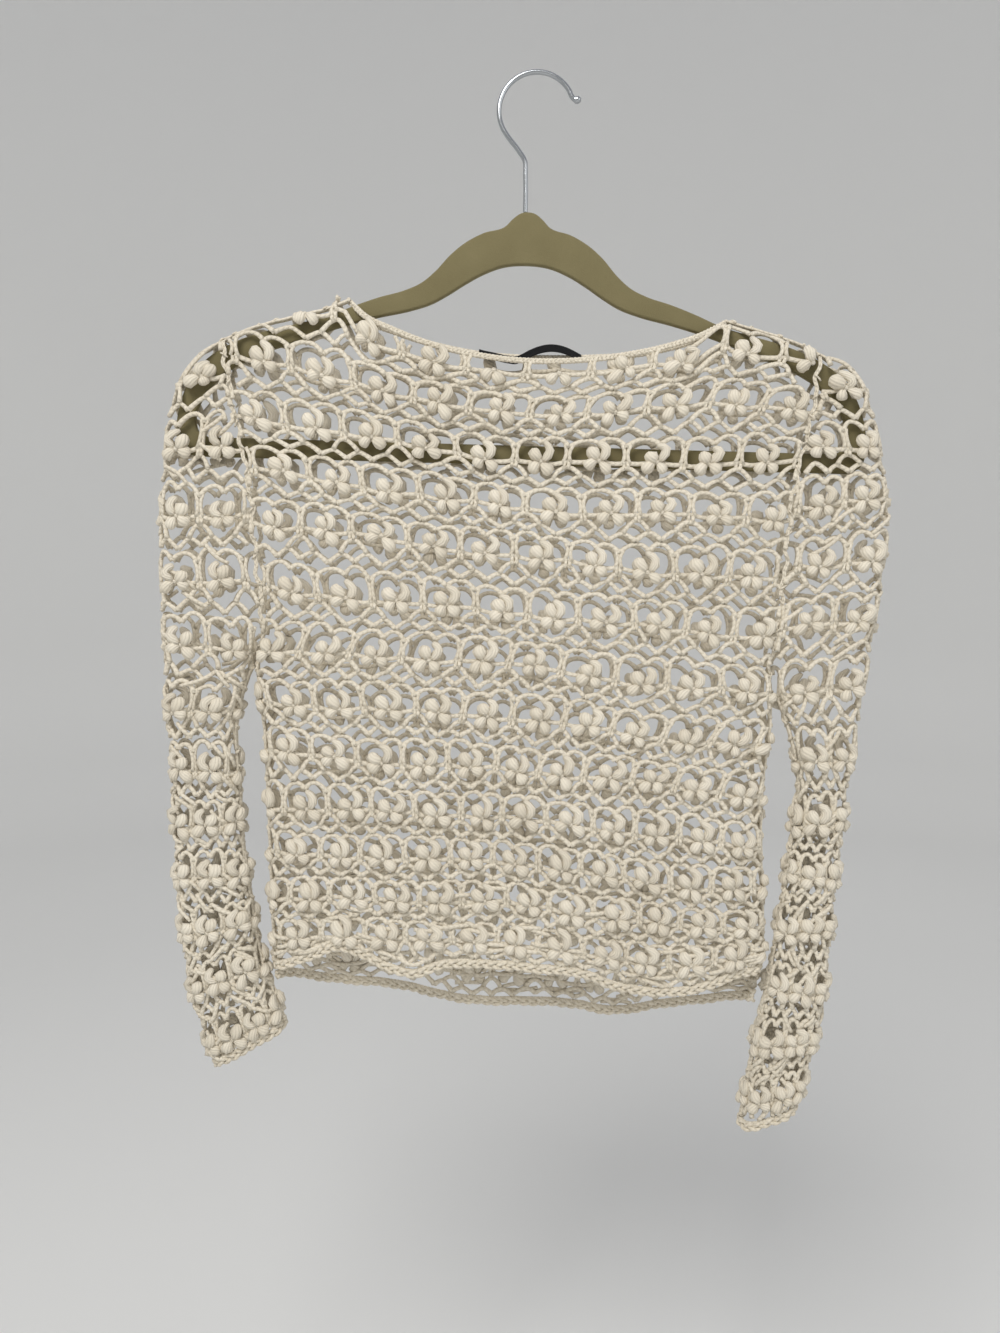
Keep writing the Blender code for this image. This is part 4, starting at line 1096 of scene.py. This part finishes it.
    def work(self):
        """Every stitch of the net.  The first flowers below the neck edge have no
        arches above them, as they hang from the neck cord."""
        f = self.flowers
        first, last = NO_CROWNS if self.neck[1] > self.neck[0] else self.neck
        hanging = (f[:, 1] == 0) & (f[:, 0] > first) & (f[:, 0] < last)
        crowns = f[~hanging]
        for side in (0.0, 0.5):
            self.arches(offset(f, side, NET_FOOT), offset(f, side + 0.5, NET_FOOT),
                        NET_PEAK + f[:, 1:], NET_POWER)
        self.arches(offset(f, 0.25, NET_PEAK), offset(f, 0.75, NET_PEAK),
                    SMALL_PEAK + f[:, 1:], SMALL_POWER)
        for start, end in (((0.02, FLOWER_TOP), (0.5, PILLAR_TOP)),
                           ((0.5, PILLAR_TOP), (1.02, FLOWER_TOP))):
            self.arches(offset(crowns, *start), offset(crowns, *end),
                        CROWN_PEAK + crowns[:, 1:], CROWN_POWER)
        for start in (0.0, 0.5):
            paths = run(offset(f, start, 0.0), offset(f, start + 0.5, 0.0), 6)
            paths[:, :, 1] += BAR_SAG * np.sin(math.pi * np.linspace(0, 1, 6))
            self.add(paths, 0.1, CORD_WIDE, CORD_THICK)
        foot = offset(f, 0.5, PILLAR_FOOT)
        spread = PILLAR_WAIST + PILLAR_SPREAD * np.linspace(-1, 1, 5) ** 2
        self.pair(foot, offset(f, 0.5, PILLAR_TOP - PILLAR_OVER), spread, 0.5)
        self.pair(foot, offset(f, 0.5, SMALL_PEAK + 0.02), POST_PINCH, 0.3, points=3)
        for petal in PETALS:
            self.petals(*petal)
        knot = run(offset(f, -0.05, 0.0), offset(f, 0.05, 0.01), len(KNOT_WIDE))
        self.add(knot, KNOT_LIFT, np.array(KNOT_WIDE), np.array(KNOT_THICK), sides=6, slot=1)


# ------------------------------------------------------------------- edgings
def plait(yarn, path, normals, form, closed=False):
    """A flat plait of three strands along a path: strand k swings across by
    sin(p + k third turns) and in and out by sin of twice that."""
    width, depth, radius, pitch = form
    walked = walk(path)
    total = walked[-1] + (np.linalg.norm(path[0] - path[-1]) if closed else 0.0)
    turns = round(total / pitch) if closed else total / pitch
    phase = 2 * math.pi * turns * walked / total
    along = np.gradient(path, axis=0)
    if closed:
        along = np.roll(path, -1, axis=0) - np.roll(path, 1, axis=0)
    side = unit(np.cross(normals, unit(along)))
    angle = phase[None, :] + np.arange(3)[:, None] * 2 * math.pi / 3
    paths = (path[None] + side[None] * (width * np.sin(angle))[..., None]
             + normals[None] * (depth * np.sin(2 * angle))[..., None])
    yarn.tubes(paths, np.broadcast_to(normals, paths.shape), radius, radius, PLAIT_SIDES,
               closed=closed)


def seam(yarn, path, normals, form):
    """Two uneven chains on both sides of a path, with a slanting loop here and there."""
    apart, radius, sway = form
    side = unit(np.cross(normals, unit(np.gradient(path, axis=0))))
    walked = walk(path)
    swing = sway * (0.6 * np.sin(walked / 4.1) + 0.4 * np.sin(walked / 1.9 + 1.0))
    paths = path[None] + side[None] * (np.array([[-1.0], [1.0]]) * apart + swing)[..., None]
    yarn.tubes(paths, np.broadcast_to(normals, paths.shape), radius, radius * 0.9, 5)
    count = int(walked[-1] / LOOP_STEP)
    start = np.linspace(0.5, walked[-1] - 3.5, count) + 5.0 * (yarn.random.random(count) - 0.5)
    t = np.linspace(-1, 1, 5)[None, :]
    at = np.clip(start[:, None] + (t + 1) * 1.7, 0, walked[-1])
    place, normal, beside = (np.stack([np.interp(at, walked, a[:, k]) for k in range(3)], -1)
                             for a in (path, normals, side))
    way = np.where(np.arange(count)[:, None] % 2, 1, -1)
    reach = (apart + 0.6 + 1.2 * yarn.random.random((count, 1))) * way
    paths = place + beside * (reach * t)[..., None] + normal * (1.5 - 1.2 * t**2)[..., None]
    yarn.tubes(paths, normal, radius * 0.8, radius * 0.75, 5)


def edge_band(yarn, top, normals, down, scallops, closed):
    """A thick loose rope along an edge, under one close chain.

    top is the edge's points and down its downward direction.  The rope's
    strands lie slanting over each other and its foot follows half sine waves.
    """
    share = np.linspace(0, 1, len(top), endpoint=not closed)
    wave = EDGING_SCALLOP * np.abs(np.sin(math.pi * scallops * share))
    swing, _, radius, _ = EDGE_ROPE
    middle = EDGING_HEIGHT - GAP - radius - swing - EDGING_SCALLOP + wave
    normals = unit(normals)
    plait(yarn, top + down * middle[:, None], normals, EDGE_ROPE, closed)
    plait(yarn, top + down * (CHAIN_WAVE * wave)[:, None], normals, EDGE_CHAIN, closed)


def edge_of(cloth, acrosses, down):
    """Points, normals and downward directions along a row of a cloth."""
    place = np.full(len(acrosses), down)
    points, normals = cloth.at(acrosses, place, np.zeros(len(acrosses)))
    above, _ = cloth.at(acrosses, place - 0.15, np.zeros(len(acrosses)))
    return points, normals, unit(points - above)


def seam_path(cloth, edge, start, end):
    """Points and normals down the low or high edge of a cloth between two rows."""
    downs = np.linspace(start, end, 60)
    place = dict(zip(("low", "high"), cloth.limits(downs)))[edge]
    points, normals = cloth.at(place, downs, np.zeros(60))
    both = evenly(np.concatenate([points, normals], axis=1), SEAM_STEP)
    return both[:, :3], unit(both[:, 3:])


# ------------------------------------------------------------------- materials
def socket(tree, kind, name, default=None, out=False):
    """A named input or output of a node group."""
    made = tree.interface.new_socket(name, in_out="OUTPUT" if out else "INPUT", socket_type=kind)
    if default is not None:
        made.default_value = default


def math_node(tree, operation, *values):
    """A Math node whose inputs are numbers or sockets; returns its output."""
    node = tree.nodes.new("ShaderNodeMath")
    node.operation = operation
    for slot_index, value in enumerate(values):
        if isinstance(value, (int, float)):
            node.inputs[slot_index].default_value = value
        else:
            tree.links.new(value, node.inputs[slot_index])
    return node.outputs[0]


def weighted(tree, *pairs):
    """The sum of sockets, each times its weight."""
    first, *rest = [math_node(tree, "MULTIPLY", value, weight) for value, weight in pairs]
    for part in rest:
        first = math_node(tree, "ADD", first, part)
    return first


def humps(tree, value):
    """A row of round humps: the sine without its sign."""
    return math_node(tree, "ABSOLUTE", math_node(tree, "SINE", value))


def noise_node(tree, vector, scale, detail, roughness=0.55):
    """A Noise texture read at vector; returns its value."""
    node = tree.nodes.new("ShaderNodeTexNoise")
    for name, value in (("Scale", scale), ("Detail", detail), ("Roughness", roughness)):
        node.inputs[name].default_value = value
    tree.links.new(vector, node.inputs["Vector"])
    return node.outputs["Fac"]


def split_node(tree, vector):
    """The X and Y of a vector."""
    node = tree.nodes.new("ShaderNodeSeparateXYZ")
    tree.links.new(vector, node.inputs[0])
    return node.outputs["X"], node.outputs["Y"]


def place_node(tree):
    """The place on the object, in its own coordinates."""
    return tree.nodes.new("ShaderNodeTexCoord").outputs["Object"]


def strand_node(tree):
    """The strand map."""
    node = tree.nodes.new("ShaderNodeUVMap")
    node.uv_map = "Strand"
    return node.outputs["UV"]


def chain_group():
    """Node group: the V shaped loops of a chain of stitches, and its fibres.

    The strand map's second coordinate counts stitches; it is bent by the
    distance from the strand's front, which turns rings into Vs.  Height is the
    rounded loops plus fine fibre noise, and Groove_Shade is painted shade, dark
    between the loops.
    """
    tree = bpy.data.node_groups.new("crochet_chain", "ShaderNodeTree")
    for name in ("Strand", "Place"):
        socket(tree, "NodeSocketVector", name)
    for name, default in (("Slant", 0.35), ("Loops", 1.0), ("Around", 0.0), ("Fuzz", 0.35)):
        socket(tree, "NodeSocketFloat", name, default)
    for name in ("Height", "Groove_Shade"):
        socket(tree, "NodeSocketFloat", name, out=True)
    inside = tree.nodes.new("NodeGroupInput").outputs
    outside = tree.nodes.new("NodeGroupOutput").inputs
    round_it, along = split_node(tree, inside["Strand"])
    angle = math_node(tree, "MULTIPLY", round_it, 2 * math.pi)
    bend = math_node(tree, "ABSOLUTE", math_node(tree, "COSINE", angle))
    total = weighted(tree, (along, inside["Loops"]), (bend, inside["Slant"]),
                     (round_it, inside["Around"]))
    phase = math_node(tree, "MULTIPLY", math_node(tree, "ADD", total, 0.5), math.pi)
    rounded = math_node(tree, "POWER", humps(tree, phase), 0.6)
    fibre = noise_node(tree, inside["Place"], 2600.0, 2.0, 0.6)
    fuzz = math_node(tree, "MULTIPLY", fibre, inside["Fuzz"])
    tree.links.new(math_node(tree, "ADD", rounded, fuzz), outside["Height"])
    # Groove_Shade is painted shade: darkest in the dips between the rounded loops.
    tree.links.new(math_node(tree, "SUBTRACT", 1.0, rounded), outside["Groove_Shade"])
    return tree


def start_material(name, **inputs):
    """A new material whose Principled shader has the given inputs, with _ for
    each space in their names; returns it with its node tree and shader."""
    material = bpy.data.materials.new(name)
    material.use_nodes = True
    shader = material.node_tree.nodes["Principled BSDF"]
    for key, value in inputs.items():
        shader.inputs[key.replace("_", " ")].default_value = value
    return material, material.node_tree, shader


def paint(tree, shader, share, first, second):
    """Feed a mix of two colours, by a share, into the shader's colour."""
    node = tree.nodes.new("ShaderNodeMix")
    node.data_type = "RGBA"
    tree.links.new(share, node.inputs["Factor"])
    for name, value in (("A", first), ("B", second)):
        target = [s for s in node.inputs if s.name == name and s.type == "RGBA"][0]
        target.default_value = (*value, 1.0)
    mixed = [s for s in node.outputs if s.type == "RGBA"][0]
    tree.links.new(mixed, shader.inputs["Base Color"])


def bump(tree, shader, height, distance):
    """Feed a height into the shader's normal."""
    node = tree.nodes.new("ShaderNodeBump")
    node.inputs["Strength"].default_value = 1.0
    node.inputs["Distance"].default_value = distance
    tree.links.new(height, node.inputs["Height"])
    tree.links.new(node.outputs["Normal"], shader.inputs["Normal"])


def yarn_material(name, chain, light, groove_shade, **stitches):
    """Matt cotton: a light and a deep cream, with painted shade deepening it in
    the grooves between the loops, and a little different from strand to strand
    and over the cloth.  stitches are inputs of the chain group."""
    material, tree, shader = start_material(
        name, Roughness=0.85, Specular_IOR_Level=0.25, Sheen_Weight=0.25, Sheen_Roughness=0.5,
        Sheen_Tint=(1.0, 0.96, 0.88, 1.0))
    place = place_node(tree)
    group = tree.nodes.new("ShaderNodeGroup")
    group.node_tree = chain
    for key, value in stitches.items():
        group.inputs[key].default_value = value
    tree.links.new(strand_node(tree), group.inputs["Strand"])
    tree.links.new(place, group.inputs["Place"])
    tone = tree.nodes.new("ShaderNodeAttribute")
    tone.attribute_name = "tone"
    # The deep cream comes in through painted shade in the grooves, plus each strand's random tone
    # and slow noise over the cloth.
    shade = weighted(tree, (group.outputs["Groove_Shade"], groove_shade), (tone.outputs["Fac"], 0.30),
                     (noise_node(tree, place, 9.0, 2.0), 0.5))
    share = math_node(tree, "SUBTRACT", shade, 0.22)
    share = math_node(tree, "MINIMUM", math_node(tree, "MAXIMUM", share, 0.0), 1.0)
    paint(tree, shader, share, light, CREAM_TONE_AND_SHADE)
    bump(tree, shader, group.outputs["Height"], 0.00035)
    return material


def flock_material():
    """Olive velvet flocking: short fibres give a soft sheen at the edges, with
    slow patches where the pile leans another way."""
    material, tree, shader = start_material(
        "olive_flocking", Roughness=0.92, Specular_IOR_Level=0.15, Sheen_Weight=0.35,
        Sheen_Roughness=0.35, Sheen_Tint=(0.75, 0.72, 0.5, 1.0))
    place = place_node(tree)
    patches = noise_node(tree, place, 38.0, 3.0)
    pile = noise_node(tree, place, 1900.0, 2.0, 0.7)
    share = math_node(tree, "SUBTRACT", weighted(tree, (patches, 0.7), (pile, 0.5)), 0.1)
    paint(tree, shader, share, OLIVE_DEEP, OLIVE)
    bump(tree, shader, pile, 0.00025)
    return material


def chrome_material():
    """Bright plated wire with faint drawing lines and dulled patches."""
    material, tree, shader = start_material("plated_wire", Metallic=1.0, Base_Color=WIRE_GREY)
    place = place_node(tree)
    patches = noise_node(tree, place, 160.0, 4.0)
    rough = math_node(tree, "ADD", math_node(tree, "MULTIPLY", patches, 0.22), 0.10)
    tree.links.new(rough, shader.inputs["Roughness"])
    bump(tree, shader, noise_node(tree, place, 900.0, 2.0), 0.00002)
    return material


def label_material():
    """Black woven satin: fine weft ribs across the ribbon."""
    material, tree, shader = start_material("black_ribbon", Roughness=0.7, Specular_IOR_Level=0.2)
    warp, weft = (humps(tree, math_node(tree, "MULTIPLY", way, count))
                  for way, count in zip(split_node(tree, strand_node(tree)), (560.0, 420.0)))
    weave = math_node(tree, "MULTIPLY", warp, weft)
    paint(tree, shader, weave, BLACK_DEEP, BLACK)
    bump(tree, shader, weave, 0.00008)
    return material


# ------------------------------------------------------------------- cloth pieces
def make_net(name, net, materials, nodes):
    """One net of yarn that stands for the named solids."""
    net.work()
    return stand_for(net.yarn.piece(name, materials), "crochet_yarn", *nodes)


def panel_net(cloth, seed):
    """The stitches of a body panel, which bunch up over the hem."""
    net = Net(cloth, Yarn(seed), FIRST_FLOWER, ROW_SHIFT, seed * 1.7, (TOP_PLACES, TOP_ROWS),
              NECK_RANGE)
    first, full, rise = HEM_SLACK
    net.gathers(cloth.end - first, cloth.end - full, rise)
    return net


def sleeve_net(cloth, seed):
    """The stitches of a sleeve, which bunch up more and more toward the cuff."""
    net = Net(cloth, Yarn(seed), SLEEVE_FIRST, SLEEVE_SHIFT, seed * 1.7,
              ((0.0, cloth.last), (cloth.top, cloth.top)))
    full, rise = CUFF_SLACK
    net.gathers(0.0, cloth.end - full, rise)
    return net


def make_neck(material):
    """The neck edging: a plait round the opening, over both shoulders."""
    path, outs = [], []
    first, last = NECK_COLUMNS
    for face, toward in ((1, -1.0), (2, 1.0)):
        outer, inner = panel_grid(face)
        middle = (outer[0, first:last + 1] + inner[0, first:last + 1]) / 2
        along = unit(np.gradient(middle, axis=0))
        up = np.cross(along, np.array([0.0, toward, 0.0]))
        up = unit(up * np.sign(up[:, 2])[:, None])
        middle = (middle + up * (NECK_CORD / 2 + NECK_SPACE))[2:-2]
        path.append(middle)
        outs.append(np.tile([0.0, toward, 0.0], (len(middle), 1)))
    tops = [np.array([[x, 0.0, shoulder_height(x) - CREST_CORD]]) for x in CREST_PLACES]
    ends = [np.array([[side, 0.0, 0.3]]) for side in (-1.0, 1.0)]
    line = np.concatenate([tops[0], path[0], tops[1], path[1][::-1], tops[0]])
    normals = np.concatenate([ends[0], outs[0], ends[1], outs[1][::-1], ends[0]])
    both = evenly(np.concatenate([line, normals], axis=1), 1.0)[:-1]
    yarn = Yarn(31)
    plait(yarn, both[:, :3], unit(both[:, 3:]), NECK_PLAIT, closed=True)
    return stand_for(yarn.piece("neck_cord", [material]), "edging_yarn", "neck_edging")


def make_edging(name, node, cloth, places, scallops, closed, material, seed):
    """Close edging along a cloth's lower edge, at places across it."""
    top, normals, down = edge_of(cloth, places, cloth.end)
    yarn = Yarn(seed)
    edge_band(yarn, top, normals, down, scallops, closed)
    return stand_for(yarn.piece(name, [material]), "edging_yarn", node)


def make_hem(face, cloth, material, seed):
    """Edging along the lower edge of the front or back panel."""
    low, high = cloth.limits(cloth.end)
    places = np.linspace(low + 0.02, high - 0.02, 360)
    return make_edging(f"hem_band_{face}", f"hem_edging_{face}", cloth, places, HEM_SCALLOPS,
                       False, material, seed)


def make_cuff(side, cloth, material, seed):
    """Edging round a cuff."""
    places = np.linspace(0, cloth.last, 240, endpoint=False)
    return make_edging(f"{side}_cuff_band", f"{side}_cuff_edging", cloth, places, CUFF_SCALLOPS,
                       True, material, seed)


def make_seams(side, front, back, sleeve, material, seed):
    """Seams of one side: both armholes, the body's side, the inside of the sleeve
    and the shoulder."""
    armpit = row_numbers()[ARMPIT_ROW[side]]
    index = ("left", "right").index(side)
    edge, outward = (("low", -1.0), ("high", 1.0))[index]
    yarn = Yarn(seed)
    for cloth in (front, back):
        seam(yarn, *seam_path(cloth, edge, cloth.top, armpit + 0.1), ARMHOLE_SEAM)
    folds = ((outward, (front, edge, armpit), (back, edge, armpit)),
             (-outward, (sleeve, "low", sleeve.armpit), (sleeve, "high", sleeve.armpit)))
    for way, *edges in folds:
        first, second = (seam_path(cloth, which, start, cloth.end)[0]
                         for cloth, which, start in edges)
        count = min(len(first), len(second))
        middle = (first[:count] + second[:count]) / 2
        seam(yarn, middle, np.tile([way, 0.0, 0.0], (count, 1)), SIDE_SEAM)
    x = np.linspace(CREST_PLACES[index], CREST_END * BODY_EDGES[0][index + 1], 80)
    crest = np.stack([x, 0 * x, shoulder_height(x) - CREST_DROP], axis=-1)
    seam(yarn, crest, np.tile([0.0, 0.0, 1.0], (80, 1)), CREST_SEAM)
    piece = yarn.piece(f"{side}_seams", [material])
    return piece


def make_label(material):
    """Plain ribbon label inside the back neck, which leans back and waves.

    Across runs from end to end; down goes over the ribbon from its lower edge
    along the top and back along its underside, so that the sheet is closed
    round its section.
    """
    outer, inner = panel_grid(2)
    x = np.linspace(LABEL_WAVES[0][0], LABEL_WAVES[-1][0], 97)
    rise = smooth(column(LABEL_WAVES, 0), column(LABEL_WAVES, 1), x)
    middle = (outer[0] + inner[0]) / 2
    top = np.interp(x, middle[:, 0], middle[:, 2]) + LABEL_BASE + rise
    back = np.concatenate([np.linspace(0, 1, 7), np.linspace(1, 0, 7)])[None, :]
    under = np.concatenate([np.zeros(7), np.full(7, LABEL_THICKNESS)])[None, :]
    front, behind = LABEL_PLACES
    z = top[:, None] - LABEL_LEAN * (1 - back) - under
    y = front + (behind - front) * back + 0.0 * z
    points = np.stack([np.broadcast_to(x[:, None], z.shape), y, z], axis=-1)
    piece = grid_piece("neck_label_ribbon", points, material, closed_across=True, caps=True)
    return stand_for(piece, "label_cloth", "neck_label")


# ------------------------------------------------------------------- hanger
def make_hanger(material):
    """Arms and bar as one rounded ring.

    Two outlines are walked evenly and in step, the outer edge and the opening's
    edge.  Across the strip between them the section is a flat bar with round
    edges: its middle part is level and its ends follow quarter circles.
    """
    def outline(points):
        """A closed outline through points, tilted as the hanger hangs: even
        steps along its arms, and then the straight bar."""
        points = np.array(points, float)
        arms = evenly(points, walk(points)[-1] / (HANGER_POINTS + 0.5))
        bar = np.linspace(0, 1, BAR_POINTS + 2)[1:-1, None]
        ring = np.concatenate([arms, arms[-1] * (1 - bar) + arms[0] * bar])
        return np.stack(tilted(HANGER_MIDDLE + ring[:, 0], ring[:, 1]), axis=-1)

    outer = outline([(-x, z) for x, z in ARM_TOP[::-1]] + list(ARM_TOP))
    opening = outline([(-x, z) for x, z in ARM_UNDER[::-1]] + [(0.0, ARM_UNDER_MIDDLE)]
                      + list(ARM_UNDER))
    turn = np.radians(np.linspace(-90, 90, RIM_POINTS))
    rim_in = HANGER_BEVEL * (1 - np.cos(turn))
    flat = (HANGER_THICKNESS / 2 - HANGER_BEVEL) * np.sign(np.linspace(-1, 1, RIM_POINTS))
    rim_up = flat + HANGER_BEVEL * np.sin(turn)
    way = unit(opening - outer)
    first = outer[:, None] + way[:, None] * rim_in[None, :, None]
    second = opening[:, None] - way[:, None] * rim_in[None, ::-1, None]
    x, z = np.moveaxis(np.concatenate([first, second], axis=1), -1, 0)
    y = np.tile(np.concatenate([rim_up, rim_up[::-1]]), (len(x), 1))
    points = np.stack([x, y, z], axis=-1)
    piece = grid_piece("flocked_hanger", points, material, closed_across=True, closed_down=True)
    return stand_for(piece, "hanger_flock", "hanger_body")


def make_hook(material):
    """Bent wire: a curl, a round arc and a shank, with a ball on the open end."""
    angles = np.radians(np.linspace(HOOK_START, HOOK_END, 17))
    arc = [(HOOK_CENTRE[0] + HOOK_RADIUS * math.cos(a), HOOK_CENTRE[1] + HOOK_RADIUS * math.sin(a))
           for a in angles]
    route = evenly(np.array(list(HOOK_TIP) + arc + list(HOOK_SHANK), float), WIRE_STEP)
    path = np.stack([route[:, 0], np.zeros(len(route)), route[:, 1]], axis=-1)
    normal = np.tile([0.0, -1.0, 0.0], (len(path), 1))
    walked = np.arange(len(path)) * WIRE_STEP
    half = WIRE_BALL / 2
    ball = half * np.sqrt(np.clip(1 - ((walked - half) / BALL_LONG) ** 2, 0, 1))
    size = np.maximum(ball, np.where(walked < half, BALL_START, WIRE / 2))[:, None]
    side = unit(np.cross(normal, unit(np.gradient(path, axis=0))))
    turn = np.arange(WIRE_SIDES) * 2 * math.pi / WIRE_SIDES
    points = (path[:, None] + side[:, None] * (np.cos(turn) * size)[..., None]
              + normal[:, None] * (np.sin(turn) * size)[..., None])
    piece = grid_piece("wire_hook", points, material, closed_across=True, caps=True)
    return stand_for(piece, "hook_wire", "hanger_hook")


# ------------------------------------------------------------------- studio
def make_stage():
    """Pale floor that turns up into a round wall, open at the top."""
    turn = np.linspace(0, 2 * math.pi, FLOOR_SIDES + 1)[:-1]
    radius, height = column(FLOOR_PROFILE, 0)[:, None], column(FLOOR_PROFILE, 1)[:, None]
    points = np.stack([radius * np.cos(turn), radius * np.sin(turn), height + 0 * turn], axis=-1)
    quads, _, _ = grid_quads(len(FLOOR_PROFILE), FLOOR_SIDES, closed_across=True)
    mesh = bpy.data.meshes.new("studio_floor")
    mesh.from_pydata(points.reshape(-1, 3).tolist(), [],
                     quads[:, [0, 3, 2, 1]].tolist() + [list(range(FLOOR_SIDES))])
    mesh.shade_smooth()
    material, _, _ = start_material("pale_paper", Roughness=0.9, Base_Color=FLOOR_COLOUR)
    mesh.materials.append(material)
    put("studio_floor", mesh)


def make_lamp(name, place, size, watts, colour):
    """A square area light that faces the top's middle."""
    data = bpy.data.lights.new(name, "AREA")
    data.size, data.energy, data.color = size, watts, colour
    lamp = put(name, data)
    way = np.array(LAMPS_FACE) - np.array(place)
    lamp.location = place
    lamp.rotation_euler = (math.atan2(math.hypot(way[0], way[1]), -way[2]), 0.0,
                           math.atan2(-way[0], way[1]))


def make_studio():
    """Soft light from above and in front, a weak fill, a pale world and the camera."""
    make_stage()
    for lamp in LAMPS:
        make_lamp(*lamp)
    scene = bpy.context.scene
    scene.world = bpy.data.worlds.new("studio_world")
    scene.world.use_nodes = True
    background = scene.world.node_tree.nodes["Background"]
    background.inputs["Color"].default_value = WORLD_COLOUR
    background.inputs["Strength"].default_value = WORLD_STRENGTH
    data = bpy.data.cameras.new("camera")
    data.sensor_fit = "HORIZONTAL"
    data.sensor_width = data.lens = FOCAL
    data.clip_start = 0.01
    camera = put("camera", data)
    camera.location = CAMERA_PLACE
    camera.rotation_euler = (math.radians(90 - CAMERA_PITCH), 0.0, 0.0)
    scene.camera = camera
    scene.view_settings.view_transform = "Standard"


def main():
    chain = chain_group()
    # 0.28 and 0.10 set how strongly painted shade darkens the grooves of the chains and of the
    # petals.
    cord = yarn_material("cotton_chain", chain, CREAM, 0.28, Loops=1.0, Slant=0.35, Around=0.0)
    puff = yarn_material("cotton_puff", chain, PUFF_CREAM, 0.10, Loops=0.4, Slant=0.0,
                         Around=2 * PETAL_LOBES)
    yarns = [cord, puff]
    make_hanger(flock_material())
    make_hook(chrome_material())
    front, back = panel_cloth(1), panel_cloth(2)
    sleeves = {side: sleeve_cloth(side) for side in ("left", "right")}
    front_net = make_net("front_net", panel_net(front, 11), yarns, ["front_panel"])
    back_net = make_net("back_net", panel_net(back, 12), yarns, ["back_panel"])
    neck = make_neck(cord)
    hem_front = make_hem("front", front, cord, 41)
    hem_back = make_hem("back", back, cord, 42)
    label = make_label(label_material())
    seams = {side: make_seams(side, front, back, sleeve, cord, 51 + k)
             for k, (side, sleeve) in enumerate(sleeves.items())}
    for k, (side, sleeve) in enumerate(sleeves.items()):
        net = make_net(f"{side}_sleeve_net", sleeve_net(sleeve, 21 + k), yarns,
                       [f"{side}_sleeve_front", f"{side}_sleeve_back"])
        cuff = make_cuff(side, sleeve, cord, 61 + k)
    make_studio()


main()
